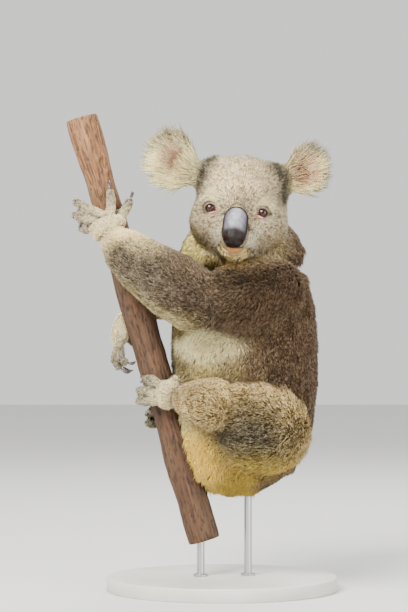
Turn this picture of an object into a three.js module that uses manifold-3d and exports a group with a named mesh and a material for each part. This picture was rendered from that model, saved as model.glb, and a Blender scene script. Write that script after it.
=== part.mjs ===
// A koala clinging to a leaning trunk, life size, held up by a plain display stand.
// Millimetres, +Z up. The face looks along -Y. The origin is the middle of the base's underside.
// Every solid of flesh reaches out to the tips of the coat.

import * as THREE from "three";
import { mergeVertices } from "three/addons/utils/BufferGeometryUtils.js";
import Module from "manifold-3d";

const wasm = await Module();
wasm.setup();

// ---- Driving dimensions ------------------------------------------------------------------------

const GAP = 0.3; // left between two pieces that touch

// The stand: a round base, and two rods, one into the trunk's foot and one into the rump.
const BASE_RADIUS = 150;
const BASE_THICKNESS = 18;
const BASE_CHAMFER = 2.5;
const ROD_RADIUS = 5;
const ROD_DEPTH = 22; // how far a rod goes into what it carries
const RUMP_AT = v(34, 10, 121); // where the rod meets the rump

// The perch: a cut length of trunk that leans towards -X.
const PERCH_RADIUS = 20;
const PERCH_LENGTH = 572;
const PERCH_LEAN = THREE.MathUtils.degToRad(16.4);
const PERCH_FOOT = v(-21.7, 0, 65); // the middle of its lower end
const PERCH_ROD_ASIDE = -6; // from there, so that the rod stays inside as the trunk leans

// The head: where its middle is, and how it is turned.
const HEAD_AT = v(23, -30, 490);
const HEAD_ROLL = THREE.MathUtils.degToRad(5.5); // crown towards +X
const HEAD_YAW = THREE.MathUtils.degToRad(-4.5); // nose towards -X
const HEAD_PITCH = THREE.MathUtils.degToRad(3); // nose up

// In the head's own frame: x across, -y forwards, z up, from the middle of the head.
const EYE_SPACING = 67;
const EYES_ASIDE = -2; // of the middle between them: the head is a little lopsided
const EYE_HEIGHT = 2.2;
const EYE_RADIUS = 8;
const EYE_DEPTH = 36.5; // the eye's middle, forwards of the head's middle
const NOSE_WIDTH = 33;
const NOSE_TOP = 8;
const NOSE_BOTTOM = -45;
const NOSTRIL_SPACING = 21;
const NOSTRIL_DEPTH = 86; // forwards of the head's middle
const NOSTRIL_HEIGHT = 9; // above the lower end of the nose
const EAR_WIDTH = 76;
const EAR_HEIGHT = 86;
const EAR_THICKNESS = 26;
const RIGHT_EAR_SHARE = 1.08; // the ears differ a little in size
const LEFT_EAR_SHARE = 0.93;

// Digits and claws.
const DIGIT_RADIUS = 7;
const TOE_RADIUS = 7.5;
const CLAW_RADIUS = 2.7;

// ---- Materials ---------------------------------------------------------------------------------

const finish = (color, roughness, metalness = 0) =>
  new THREE.MeshStandardMaterial({ color, roughness, metalness });
const GREY_FUR = finish(0x8b8278, 0.95);
const BROWN_FUR = finish(0x74685e, 0.95);
const PALE_FUR = finish(0xb9b0a4, 0.95);
const NOSE_LEATHER = finish(0x3a3638, 0.45);
const EYE_SHINE = finish(0x3a2015, 0.1);
const CLAW_HORN = finish(0x2a2522, 0.4);
const BARK = finish(0x8a6a55, 0.85);
const BASE_PAINT = finish(0xc9c4bb, 0.6);
const ROD_STEEL = finish(0x9a9c9e, 0.35, 0.9);

// ---- Shape tools -------------------------------------------------------------------------------

function v(x, y, z) {
  return new THREE.Vector3(x, y, z);
}

// A closed geometry as a manifold-3d solid, with its faces pointing out.
function solidOf(geometry) {
  const bare = geometry.clone();
  bare.deleteAttribute("normal");
  bare.deleteAttribute("uv");
  const merged = mergeVertices(bare, 1e-3);
  const corners = merged.index.array;
  const kept = [];
  for (let i = 0; i < corners.length; i += 3) {
    const [a, b, c] = corners.slice(i, i + 3);
    if (a !== b && b !== c && c !== a) kept.push(a, b, c);
  }
  const make = (triangles) =>
    new wasm.Manifold(
      new wasm.Mesh({
        numProp: 3,
        vertProperties: new Float32Array(merged.attributes.position.array),
        triVerts: new Uint32Array(triangles),
      }),
    );
  const made = make(kept);
  return made.volume() > 0 ? made : make(kept.reverse());
}

// The other way round: a solid's mesh as a three.js geometry with flat faces.
function geometryOf(solid) {
  const mesh = solid.getMesh();
  const geometry = new THREE.BufferGeometry();
  geometry.setAttribute("position", new THREE.BufferAttribute(mesh.vertProperties, 3));
  geometry.setIndex(new THREE.BufferAttribute(mesh.triVerts, 1));
  const flat = geometry.toNonIndexed();
  flat.computeVertexNormals();
  return flat;
}

// What is left of a piece after the cuts is its one large body; slivers beyond a neighbour go.
function largest(solid) {
  return solid.decompose().sort((a, b) => b.volume() - a.volume())[0];
}

const join = (shapes) => (grow) =>
  shapes.map((shape) => shape(grow)).reduce((a, b) => a.add(b));

// A round body drawn out along a spine. A station is [point, half-width, half-depth], the half-width
// lying along `across`. `blunt` is how square its two ends are: 2 is an ellipsoid.
function drawnOut(stations, { sectors = 14, rings = 10, blunt = 3, across = v(0, -1, 0) } = {}) {
  const spine = new THREE.CatmullRomCurve3(stations.map(([point]) => point));
  const sizes = new THREE.CatmullRomCurve3(
    stations.map(([, wide, deep = wide]) => v(wide, deep, 0)),
  );
  const profile = [];
  for (let i = 0; i <= rings; i++) {
    const place = (1 - Math.cos((Math.PI * i) / rings)) / 2;
    const share = Math.sqrt(Math.max(0, 1 - Math.abs(2 * place - 1) ** blunt));
    profile.push(new THREE.Vector2(share, place));
  }
  return (grow = 0) => {
    const geometry = new THREE.LatheGeometry(profile, sectors);
    const position = geometry.attributes.position;
    for (let i = 0; i < position.count; i++) {
      const place = position.getY(i);
      const tangent = spine.getTangent(place);
      const wide = across.clone().addScaledVector(tangent, -across.dot(tangent)).normalize();
      const deep = tangent.clone().cross(wide);
      const size = sizes.getPoint(place);
      const point = spine
        .getPoint(place)
        .addScaledVector(tangent, grow * (2 * place - 1))
        .addScaledVector(wide, position.getX(i) * (size.x + grow))
        .addScaledVector(deep, position.getZ(i) * (size.y + grow));
      position.setXYZ(i, point.x, point.y, point.z);
    }
    return solidOf(geometry);
  };
}

// An ellipsoid, bent by `bend` and then placed by `matrix`.
function blob(halves, matrix, { sectors = 16, rings = 10, bend = (p) => p } = {}) {
  return (grow = 0) => {
    const geometry = new THREE.SphereGeometry(1, sectors, rings);
    geometry.rotateX(Math.PI / 2);
    geometry.scale(halves.x + grow, halves.y + grow, halves.z + grow);
    const position = geometry.attributes.position;
    for (let i = 0; i < position.count; i++) {
      const point = bend(v().fromBufferAttribute(position, i)).applyMatrix4(matrix);
      position.setXYZ(i, point.x, point.y, point.z);
    }
    return solidOf(geometry);
  };
}

// How far a point lies outside an ellipsoid, near enough for blending.
function outside(point, { at, halves }) {
  const p = point.clone().sub(at).divide(halves);
  const slope = p.clone().divide(halves).length();
  if (slope < 1e-9) return -Math.min(halves.x, halves.y, halves.z);
  return (p.length() * (p.length() - 1)) / slope;
}

// The masses of flesh under one skin: the distance to all of them, run together over `soft`.
function blended(point, masses, soft) {
  return masses
    .map((mass) => outside(point, mass))
    .reduce((a, b) => {
      const near = Math.max(soft - Math.abs(a - b), 0) / soft;
      return Math.min(a, b) - (near * near * soft) / 4;
    });
}

// A sphere of rays from the middle, each one ending where the blended masses do. Its rings run
// round the nose, from the front of the face to the back of the skull.
function wrapped(masses, matrix, { sectors = 24, rings = 17, soft = 12, reach = 130 } = {}) {
  return (grow = 0) => {
    const geometry = new THREE.SphereGeometry(1, sectors, rings);
    const position = geometry.attributes.position;
    for (let i = 0; i < position.count; i++) {
      const ray = v().fromBufferAttribute(position, i).normalize();
      let [inner, outer] = [0, reach];
      for (let far = reach; far > 0; far -= 3) {
        if (blended(ray.clone().multiplyScalar(far), masses, soft) < 0) {
          [inner, outer] = [far, far + 3];
          break;
        }
      }
      for (let step = 0; step < 14; step++) {
        const middle = (inner + outer) / 2;
        if (blended(ray.clone().multiplyScalar(middle), masses, soft) < 0) inner = middle;
        else outer = middle;
      }
      const point = ray.multiplyScalar(inner + grow).applyMatrix4(matrix);
      position.setXYZ(i, point.x, point.y, point.z);
    }
    return solidOf(geometry);
  };
}

const mirrored = (mass) => [
  mass,
  { at: mass.at.clone().multiply(v(-1, 1, 1)), halves: mass.halves },
];

// ---- The stand and the perch -------------------------------------------------------------------

const PERCH_AXIS = v(-Math.sin(PERCH_LEAN), 0, Math.cos(PERCH_LEAN));
const PERCH_TURNED = new THREE.Matrix4()
  .makeRotationY(-PERCH_LEAN)
  .setPosition(PERCH_FOOT);

// A plain lathed piece: its profile is [radius, height] from its foot up, on a vertical axis.
function turned(profile, sectors, matrix = new THREE.Matrix4()) {
  const geometry = new THREE.LatheGeometry(
    profile.map(([radius, height]) => new THREE.Vector2(radius, height)),
    sectors,
  );
  geometry.rotateX(Math.PI / 2);
  geometry.applyMatrix4(matrix);
  return solidOf(geometry);
}

const base = (grow = 0) =>
  turned(
    [
      [0, -grow],
      [BASE_RADIUS + grow, -grow],
      [BASE_RADIUS + grow, BASE_THICKNESS - BASE_CHAMFER + grow],
      [BASE_RADIUS - BASE_CHAMFER + grow, BASE_THICKNESS + grow],
      [0, BASE_THICKNESS + grow],
    ],
    40,
  );

const rod = (x, y, top) => (grow = 0) =>
  turned(
    [
      [0, BASE_THICKNESS + GAP - grow],
      [ROD_RADIUS + grow, BASE_THICKNESS + GAP - grow],
      [ROD_RADIUS + grow, top + grow],
      [0, top + grow],
    ],
    12,
    new THREE.Matrix4().makeTranslation(x, y, 0),
  );

// The trunk swells and narrows a little along its length, and is never quite round.
function perch(grow = 0) {
  const rings = 11;
  const profile = [[0, -grow]];
  for (let i = 0; i <= rings; i++) profile.push([1, (PERCH_LENGTH * i) / rings]);
  profile[1][1] -= grow;
  profile[rings + 1][1] += grow;
  profile.push([0, PERCH_LENGTH + grow]);
  const geometry = new THREE.LatheGeometry(
    profile.map(([share, height]) => new THREE.Vector2(share, height)),
    12,
  );
  geometry.rotateX(Math.PI / 2);
  const position = geometry.attributes.position;
  for (let i = 0; i < position.count; i++) {
    const height = position.getZ(i);
    const around = Math.atan2(position.getY(i), position.getX(i));
    const swell = 0.9 * Math.sin(height / 41) + 0.7 * Math.sin(height / 17 + 1.3);
    const radius = PERCH_RADIUS + swell + 0.5 * Math.sin(2 * around + height / 90) + grow;
    position.setXY(i, position.getX(i) * radius, position.getY(i) * radius);
  }
  geometry.applyMatrix4(PERCH_TURNED);
  return solidOf(geometry);
}

// ---- The body ----------------------------------------------------------------------------------

const HEAD_TURNED = new THREE.Matrix4()
  .makeRotationFromEuler(new THREE.Euler(HEAD_PITCH, HEAD_ROLL, HEAD_YAW, "YZX"))
  .setPosition(HEAD_AT);

const inHead = (x, y, z) => v(x, y, z).applyMatrix4(HEAD_TURNED);

// A matrix in the head's frame: a place, and turns about the head's x, y and z axes in degrees.
function onHead(x, y, z, tilt = 0, roll = 0, yaw = 0) {
  const [a, b, c] = [tilt, roll, yaw].map(THREE.MathUtils.degToRad);
  return new THREE.Matrix4()
    .makeRotationFromEuler(new THREE.Euler(a, b, c, "ZYX"))
    .setPosition(v(x, y, z))
    .premultiply(HEAD_TURNED);
}

const torso = drawnOut(
  [
    [v(12, 8, 120), 76, 72],
    [v(15, 8, 160), 82, 84],
    [v(26, 8, 206), 91, 89],
    [v(30, 8, 250), 94, 88],
    [v(30, 8, 294), 97, 86],
    [v(29, 8, 338), 96, 83],
    [v(28, 10, 380), 93, 79],
    [v(26, 10, 418), 88, 72],
    [v(26, 9, 450), 80, 60],
  ],
  { sectors: 16, rings: 11, blunt: 5, across: v(1, 0, 0) },
);

const neck = drawnOut(
  [
    [v(26, 9, 410), 86, 70],
    [v(25, 7, 436), 85, 68],
    [v(23, 0, 466), 70, 62],
    [v(21, -6, 500), 50, 50],
  ],
  { sectors: 14, rings: 7, blunt: 5, across: v(1, 0, 0) },
);

const head = wrapped(
  [
    { at: v(0, 14, 18), halves: v(59, 60, 57) }, // cranium
    ...mirrored({ at: v(39, 10, 43), halves: v(25, 25, 21) }), // tufts at the roots of the ears
    ...mirrored({ at: v(32.5, -6, -15), halves: v(32, 42, 35) }), // cheeks
    { at: v(0, 4, -46), halves: v(46, 44, 32) }, // throat
    { at: v(0, -44, -32), halves: v(28, 33, 25) }, // muzzle
    { at: v(0, -38, -4), halves: v(17, 28, 28) }, // bridge of the nose
    ...mirrored({ at: v(21, -30, 22), halves: v(20, 18, 13) }), // brows
    { at: v(0, -38, -50), halves: v(20, 30, 13) }, // chin
  ],
  HEAD_TURNED,
);

const eye = (side) =>
  blob(
    v(EYE_RADIUS, EYE_RADIUS, EYE_RADIUS),
    onHead(EYES_ASIDE + (side * EYE_SPACING) / 2, -EYE_DEPTH, EYE_HEIGHT),
    { sectors: 10, rings: 6 },
  );

// The nose pad stands out most at its lower end, where the two nostrils open.
const nosePad = drawnOut(
  [
    [inHead(0, -58, NOSE_TOP), 0.4 * NOSE_WIDTH, 9],
    [inHead(0, -63, NOSE_TOP - 15), 0.5 * NOSE_WIDTH, 12],
    [inHead(0, -71, NOSE_TOP - 36), 0.49 * NOSE_WIDTH, 14],
    [inHead(0, -72, NOSE_BOTTOM), 0.44 * NOSE_WIDTH, 10],
  ],
  { sectors: 12, rings: 9, blunt: 4, across: v(1, 0, 0) },
);
const nostril = (side) => {
  const across = (side * NOSTRIL_SPACING) / 2;
  const up = NOSE_BOTTOM + NOSTRIL_HEIGHT;
  return blob(v(3.6, 7, 3.2), onHead(across, -NOSTRIL_DEPTH, up, 0, side * 25, 0), {
    sectors: 6,
    rings: 4,
  });
};
const nose = (grow = 0) =>
  grow > 0 ? nosePad(grow) : nosePad(0).subtract(nostril(-1)(0)).subtract(nostril(1)(0));

// An ear is a thick round leaf of fur, cupped towards the front.
const cupped = (p) => v(p.x, p.y - 0.004 * (p.x * p.x + p.z * p.z), p.z);
const ear = (size, matrix) =>
  blob(v((size * EAR_WIDTH) / 2, EAR_THICKNESS / 2, (size * EAR_HEIGHT) / 2), matrix, {
    sectors: 16,
    rings: 8,
    bend: cupped,
  });
const rightEar = ear(RIGHT_EAR_SHARE, onHead(-96, 6, 59, 0, -18, 12));
const leftEar = ear(LEFT_EAR_SHARE, onHead(80, 6, 62, 0, 16, -14));

// ---- Limbs -------------------------------------------------------------------------------------

// The near arm is the koala's left one. It reaches up along the trunk's near side.
const leftUpperArm = drawnOut(
  [
    [v(94, -10, 396), 42],
    [v(70, -34, 391), 50],
    [v(30, -62, 383), 48],
    [v(-6, -82, 374), 45],
    [v(-30, -88, 366), 39],
  ],
  { sectors: 13, rings: 7, blunt: 3 },
);
const leftForearm = drawnOut(
  [
    [v(6, -90, 363), 38],
    [v(-21, -90, 370), 44],
    [v(-60, -79, 393), 44],
    [v(-103, -60, 422), 37],
    [v(-131, -44, 447), 30],
    [v(-144, -38, 466), 23],
  ],
  { sectors: 13, rings: 9, blunt: 4 },
);
const rightUpperArm = drawnOut(
  [
    [v(66, 60, 404), 44],
    [v(44, 76, 400), 48],
    [v(6, 96, 392), 44],
    [v(-26, 106, 386), 38],
    [v(-48, 103, 382), 32],
  ],
  { sectors: 12, rings: 6, blunt: 3 },
);
const rightForearm = drawnOut(
  [
    [v(-20, 110, 384), 32],
    [v(-48, 102, 383), 34],
    [v(-80, 74, 379), 29],
    [v(-106, 45, 370), 23],
    [v(-124, 24, 350), 18],
  ],
  { sectors: 11, rings: 8, blunt: 4 },
);

const leftThigh = drawnOut(
  [
    [v(91, -14, 197), 46],
    [v(76, -34, 201), 56],
    [v(48, -62, 217), 61],
    [v(20, -88, 237), 48],
    [v(-6, -104, 247), 35],
  ],
  { sectors: 14, rings: 8, blunt: 2.6 },
);
const leftShank = drawnOut(
  [
    [v(18, -112, 242), 30],
    [v(-4, -102, 244), 35],
    [v(-34, -72, 248), 29],
    [v(-60, -46, 252), 21],
  ],
  { sectors: 12, rings: 7, blunt: 3 },
);
const rightThigh = drawnOut(
  [
    [v(88, 30, 192), 46],
    [v(68, 50, 195), 54],
    [v(36, 76, 200), 54],
    [v(10, 98, 218), 44],
    [v(-10, 110, 230), 34],
  ],
  { sectors: 13, rings: 8, blunt: 2.6 },
);
const rightShank = drawnOut(
  [
    [v(8, 120, 228), 28],
    [v(-10, 110, 228), 33],
    [v(-34, 78, 224), 26],
    [v(-56, 46, 220), 19],
  ],
  { sectors: 12, rings: 7, blunt: 3 },
);

// A hand or foot is a flat palm with its digits, one solid. A digit is [base, knuckle, tip, claw].
const digit = ([base, knuckle, tip], radius) =>
  drawnOut(
    [
      [base.clone().multiplyScalar(1.7).addScaledVector(knuckle, -0.7), radius],
      [base, radius],
      [knuckle, radius],
      [tip, radius],
    ],
    { sectors: 6, rings: 5, blunt: 7, across: v(0.3, -1, 0.2) },
  );
const claw = ([, knuckle, tip, point]) => {
  const root = tip.clone().lerp(knuckle, 0.25);
  const ahead = tip.clone().sub(knuckle);
  const bulge = ahead.clone().setLength(0.3 * tip.distanceTo(point));
  const across = ahead.cross(point.clone().sub(tip)).normalize();
  return drawnOut(
    [
      [root, CLAW_RADIUS],
      [tip.clone().lerp(point, 0.4).add(bulge), CLAW_RADIUS],
      [point, 0.35 * CLAW_RADIUS],
    ],
    { sectors: 5, rings: 4, blunt: 6, across },
  );
};

const leftHandDigits = [
  [v(-134, -30, 478), v(-123, -27, 496), v(-118, -18, 509), v(-116, -5, 518)],
  [v(-143, -32, 486), v(-143, -32, 506), v(-145, -29, 520), v(-147, -18, 531)],
  [v(-160, -30, 489), v(-182, -27, 500), v(-192, -15, 505), v(-178, 0, 505)],
  [v(-163, -31, 478), v(-184, -27, 484), v(-193, -14, 487), v(-175, 0, 487)],
  [v(-160, -29, 467), v(-177, -24, 468), v(-184, -13, 470), v(-168, 0, 471)],
];
const leftPalm = drawnOut(
  [
    [v(-140, -39, 456), 20, 15],
    [v(-147, -35, 470), 26, 14],
    [v(-152, -32, 484), 24, 12],
  ],
  { sectors: 8, rings: 6, blunt: 4, across: v(1, 0, 0.3) },
);

const rightHandDigits = [
  [v(-123, 31, 340), v(-107, 34, 331), v(-95, 31, 324), v(-87, 22, 318)],
  [v(-125, 29, 330), v(-110, 33, 318), v(-98, 31, 310), v(-89, 22, 304)],
  [v(-133, -3, 318), v(-131, -10, 301), v(-121, -13, 294), v(-112, -10, 299)],
  [v(-137, 7, 315), v(-139, 4, 298), v(-131, -1, 286), v(-118, -3, 284)],
  [v(-135, 17, 317), v(-137, 19, 300), v(-129, 20, 288), v(-115, 16, 286)],
];
const rightPalm = drawnOut(
  [
    [v(-119, 28, 362), 17, 14],
    [v(-131, 15, 338), 20, 14],
    [v(-136, 7, 316), 18, 11],
  ],
  { sectors: 8, rings: 6, blunt: 4, across: v(-0.3, 1, 0) },
);

// A hind foot's first digit has no claw. The second and third are one digit with two claws.
const leftFootDigits = [
  [v(-70, -33, 262), v(-60, -30, 272), v(-51, -20, 277)],
  [v(-78, -33, 265), v(-91, -29, 274), v(-101, -19, 275), v(-104, -6, 272)],
  [v(-86, -33, 257), v(-100, -28, 260), v(-109, -17, 260), v(-107, -3, 256)],
  [v(-86, -32, 247), v(-101, -27, 246), v(-110, -16, 247), v(-105, -2, 244)],
];
const leftSole = drawnOut(
  [
    [v(-56, -41, 250), 18, 14],
    [v(-70, -36, 255), 20, 13],
    [v(-86, -33, 257), 18, 12],
  ],
  { sectors: 8, rings: 6, blunt: 4, across: v(0.2, 0, 1) },
);
const rightFootDigits = [
  [v(-60, 33, 230), v(-50, 30, 240), v(-41, 20, 245)],
  [v(-68, 34, 232), v(-80, 30, 239), v(-90, 20, 240), v(-94, 8, 236)],
  [v(-76, 34, 226), v(-90, 28, 229), v(-98, 17, 229), v(-96, 4, 225)],
  [v(-76, 33, 216), v(-91, 27, 215), v(-99, 16, 217), v(-94, 3, 216)],
];
const rightSole = drawnOut(
  [
    [v(-50, 42, 220), 18, 14],
    [v(-62, 37, 223), 20, 13],
    [v(-77, 34, 224), 18, 12],
  ],
  { sectors: 8, rings: 6, blunt: 4, across: v(0.2, 0, 1) },
);

const paw = (palm, digits, radius) => join([palm, ...digits.map((each) => digit(each, radius))]);

// The second digit of a hind foot carries two claws, side by side.
function clawsOf(limb, digits, isFoot) {
  const claws = [];
  digits.forEach((each, i) => {
    if (each.length < 4) return;
    if (isFoot && i === 1) {
      for (const [number, shift] of [[2, 3.2], [3, -3.2]]) {
        const beside = each.map((point) => point.clone().add(v(0, 0, shift)));
        claws.push([`claw_${limb}_${number}`, claw(beside), CLAW_HORN]);
      }
    } else {
      claws.push([`claw_${limb}_${isFoot ? i + 2 : i + 1}`, claw(each), CLAW_HORN]);
    }
  });
  return claws;
}

// ---- Putting it together -----------------------------------------------------------------------

// In this order each piece is cut back from those before it, so that they meet with a gap of GAP.
const RUMP_ROD = rod(RUMP_AT.x, RUMP_AT.y, RUMP_AT.z + ROD_DEPTH);
const PERCH_ROD = rod(PERCH_FOOT.x + PERCH_ROD_ASIDE, 0, PERCH_FOOT.z + ROD_DEPTH);
const pieces = [
  ["stand_base", base, BASE_PAINT],
  ["stand_rod_rump", RUMP_ROD, ROD_STEEL],
  ["stand_rod_perch", PERCH_ROD, ROD_STEEL],
  ["perch", perch, BARK],
  ["eye_left", eye(1), EYE_SHINE],
  ["eye_right", eye(-1), EYE_SHINE],
  ["nose", nose, NOSE_LEATHER],
  ...clawsOf("left_hand", leftHandDigits, false),
  ...clawsOf("right_hand", rightHandDigits, false),
  ...clawsOf("left_foot", leftFootDigits, true),
  ...clawsOf("right_foot", rightFootDigits, true),
  ["head", head, GREY_FUR],
  ["ear_left", leftEar, PALE_FUR],
  ["ear_right", rightEar, PALE_FUR],
  ["left_hand", paw(leftPalm, leftHandDigits, DIGIT_RADIUS), PALE_FUR],
  ["right_hand", paw(rightPalm, rightHandDigits, DIGIT_RADIUS), PALE_FUR],
  ["left_foot", paw(leftSole, leftFootDigits, TOE_RADIUS), PALE_FUR],
  ["right_foot", paw(rightSole, rightFootDigits, TOE_RADIUS), PALE_FUR],
  ["left_forearm", leftForearm, GREY_FUR],
  ["right_forearm", rightForearm, GREY_FUR],
  ["left_shank", leftShank, GREY_FUR],
  ["right_shank", rightShank, GREY_FUR],
  ["left_thigh", leftThigh, GREY_FUR],
  ["right_thigh", rightThigh, GREY_FUR],
  ["left_upper_arm", leftUpperArm, BROWN_FUR],
  ["right_upper_arm", rightUpperArm, BROWN_FUR],
  ["neck", neck, BROWN_FUR],
  ["torso", torso, BROWN_FUR],
];

const koala = new THREE.Group();
const made = [];
for (const [name, shape, material] of pieces) {
  let solid = shape(0);
  const reach = solid.boundingBox();
  for (const earlier of made) {
    const apart = [0, 1, 2].some(
      (i) => earlier.box.min[i] > reach.max[i] || earlier.box.max[i] < reach.min[i],
    );
    if (!apart) solid = solid.subtract(earlier.grown);
  }
  const grown = shape(GAP);
  made.push({ grown, box: grown.boundingBox() });
  const mesh = new THREE.Mesh(geometryOf(largest(solid)), material);
  mesh.name = name;
  koala.add(mesh);
}

export default koala;
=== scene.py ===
import math

import bmesh
import bpy
import numpy as np
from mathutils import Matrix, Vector, noise
from mathutils.bvhtree import BVHTree


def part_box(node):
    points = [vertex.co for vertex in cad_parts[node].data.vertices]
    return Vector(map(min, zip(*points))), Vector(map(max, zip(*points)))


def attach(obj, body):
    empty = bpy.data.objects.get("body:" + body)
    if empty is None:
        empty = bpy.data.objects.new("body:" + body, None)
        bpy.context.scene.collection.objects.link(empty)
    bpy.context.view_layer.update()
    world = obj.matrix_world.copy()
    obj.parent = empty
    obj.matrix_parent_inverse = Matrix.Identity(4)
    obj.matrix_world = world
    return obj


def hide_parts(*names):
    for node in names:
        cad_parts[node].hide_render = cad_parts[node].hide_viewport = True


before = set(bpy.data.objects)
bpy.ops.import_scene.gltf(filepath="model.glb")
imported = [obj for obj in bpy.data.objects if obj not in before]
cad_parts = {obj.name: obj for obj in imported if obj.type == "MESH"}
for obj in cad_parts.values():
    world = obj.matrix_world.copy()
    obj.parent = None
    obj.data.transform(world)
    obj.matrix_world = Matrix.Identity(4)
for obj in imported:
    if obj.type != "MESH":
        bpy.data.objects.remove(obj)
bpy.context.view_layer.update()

# ---- The base ----------------------------------------------------------------------------------
# A turned disc of wood with an eased upper edge, painted a warm pale grey. The two rods stand in
# holes drilled in it, and the whole figure stands on it.


def new_piece(name, data):
    """An object at the origin, in the scene, that holds the mesh, lamp or camera."""
    piece = bpy.data.objects.new(name, data)
    bpy.context.collection.objects.link(piece)
    return piece


def mesh_piece(name, vertices, faces, material=None):
    """A smooth piece with those faces, all turned outwards."""
    mesh = bpy.data.meshes.new(name)
    mesh.from_pydata([tuple(v) for v in vertices], [], [tuple(f) for f in faces])
    shell = bmesh.new()
    shell.from_mesh(mesh)
    bmesh.ops.recalc_face_normals(shell, faces=shell.faces)
    shell.to_mesh(mesh)
    shell.free()
    mesh.polygons.foreach_set("use_smooth", [True] * len(mesh.polygons))
    if material:
        mesh.materials.append(material)
    return new_piece(name, mesh)


def turned(profile, sectors, foot, along=Vector((0, 0, 1))):
    """The vertices and faces of a turned solid, whose profile is (radius, height) from axis to axis."""
    side = along.orthogonal().normalized()
    other = along.cross(side)
    vertices = [foot + along * profile[0][1]]
    for radius, height in profile[1:-1]:
        for i in range(sectors):
            turn = 2 * math.pi * i / sectors
            vertices.append(
                foot + along * height + (side * math.cos(turn) + other * math.sin(turn)) * radius
            )
    vertices.append(foot + along * profile[-1][1])
    faces = []
    last = len(vertices) - 1
    for i in range(sectors):
        j = (i + 1) % sectors
        faces.append((0, 1 + j, 1 + i))
        for ring in range(len(profile) - 3):
            low = 1 + ring * sectors
            faces.append((low + i, low + j, low + sectors + j, low + sectors + i))
        faces.append((last - sectors + i, last - sectors + j, last))
    return vertices, faces


def plug(tree, socket, value):
    """Sets an input to the value, or links it where the value is another node's output."""
    if isinstance(value, bpy.types.NodeSocket):
        tree.links.new(value, socket)
    else:
        socket.default_value = value


def feed(tree, node, **values):
    """Sets or links the inputs that are named, with _ for a space."""
    for key, value in values.items():
        plug(tree, node.inputs[key.replace("_", " ")], value)


def new_node(tree, kind, **values):
    """A node in the tree, with its properties set and its inputs set or linked."""
    node = tree.nodes.new(kind)
    for key in [k for k in values if hasattr(node, k) and k not in node.inputs]:
        setattr(node, key, values.pop(key))
    feed(tree, node, **values)
    return node


def object_place(tree):
    """The place on the piece, in metres."""
    return new_node(tree, "ShaderNodeTexCoord").outputs["Object"]


def grain_over(tree, place, scale, detail, stretch=None, **values):
    """A cloudy grain of about scale lumps to the metre; stretch multiplies the place along each axis."""
    if stretch:
        place = new_node(tree, "ShaderNodeMapping", Vector=place, Scale=stretch).outputs["Vector"]
    values.update(Vector=place, Scale=scale, Detail=detail)
    return new_node(tree, "ShaderNodeTexNoise", **values).outputs["Fac"]


def linear(red, green, blue):
    """A colour given as it looks on a screen, from 0 to 255, as the renderer's linear light."""
    return [
        c / 12.92 if c <= 0.04045 else ((c + 0.055) / 1.055) ** 2.4
        for c in (red / 255, green / 255, blue / 255)
    ] + [1.0]


def new_material(name, **values):
    """A material whose Principled shader has those constant values, with its tree and its shader."""
    material = bpy.data.materials.new(name)
    material.use_nodes = True
    shader = material.node_tree.nodes["Principled BSDF"]
    feed(material.node_tree, shader, **values)
    return material, material.node_tree, shader


def ramp(tree, value, stops):
    """A colour ramp over the value, with stops of (position, colour)."""
    node = new_node(tree, "ShaderNodeValToRGB", Fac=value)
    elements = node.color_ramp.elements
    while len(elements) < len(stops):
        elements.new(0.5)
    for element, (position, colour) in zip(elements, stops):
        element.position = position
        element.color = colour
    return node.outputs["Color"]


def bump(tree, shader, height, distance, strength):
    """The surface stands up by that height, as a share of the distance in metres."""
    node = new_node(tree, "ShaderNodeBump", Height=height, Distance=distance, Strength=strength)
    feed(tree, shader, Normal=node.outputs["Normal"])


base_low, base_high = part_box("stand_base")
base_radius = (base_high.x - base_low.x) / 2
base_thickness = base_high.z
EDGE_EASE = 0.0025
EASE_STEPS = 5
FOOT_BEVEL = 0.0012
BASE_SECTORS = 160

profile = [(0, 0), (base_radius - FOOT_BEVEL, 0), (base_radius, FOOT_BEVEL)]
for step in range(EASE_STEPS + 1):
    turn = math.pi / 2 * step / EASE_STEPS
    radius = base_radius - EDGE_EASE * (1 - math.cos(turn))
    profile.append((radius, base_thickness - EDGE_EASE * (1 - math.sin(turn))))
profile += [(base_radius * 0.5, base_thickness), (0, base_thickness)]

base_paint, tree, shader = new_material("base_paint", Roughness=0.5)
place = object_place(tree)
cloud = grain_over(tree, place, 14.0, 5.0)
painted = ramp(tree, cloud, [(0.3, linear(196, 192, 184)), (0.7, linear(210, 206, 199))])
feed(tree, shader, Base_Color=painted)
brushed = grain_over(tree, place, 1.0, 3.0, stretch=(900, 60, 60))
bump(tree, shader, brushed, 0.00012, 0.6)

disc = turned(profile, BASE_SECTORS, Vector((0, 0, 0)))
base = mesh_piece("stand_base_disc", *disc, base_paint)
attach(base, "root")
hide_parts("stand_base")

# ---- The rods ----------------------------------------------------------------------------------
# Two round steel rods, brushed along their length. Each stands in the base in a thin pressed
# collar, one runs up into the sawn foot of the trunk and the other into the rump.

COLLAR_RADIUS = 0.0095
COLLAR_HEIGHT = 0.003
TURNED_EDGE = 0.0008  # the bevel on the collar and on the rod's upper end
ROD_SECTORS = 32

rod_steel, tree, shader = new_material("rod_steel", Metallic=1.0)
drawn = grain_over(tree, object_place(tree), 1.0, 2.0, stretch=(2200, 2200, 12))
steel = ramp(tree, drawn, [(0.3, linear(168, 168, 170)), (0.7, linear(198, 198, 200))])
dulled = new_node(tree, "ShaderNodeMapRange", Value=drawn, To_Min=0.28, To_Max=0.45)
feed(tree, shader, Base_Color=steel, Roughness=dulled.outputs["Result"])

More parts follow.
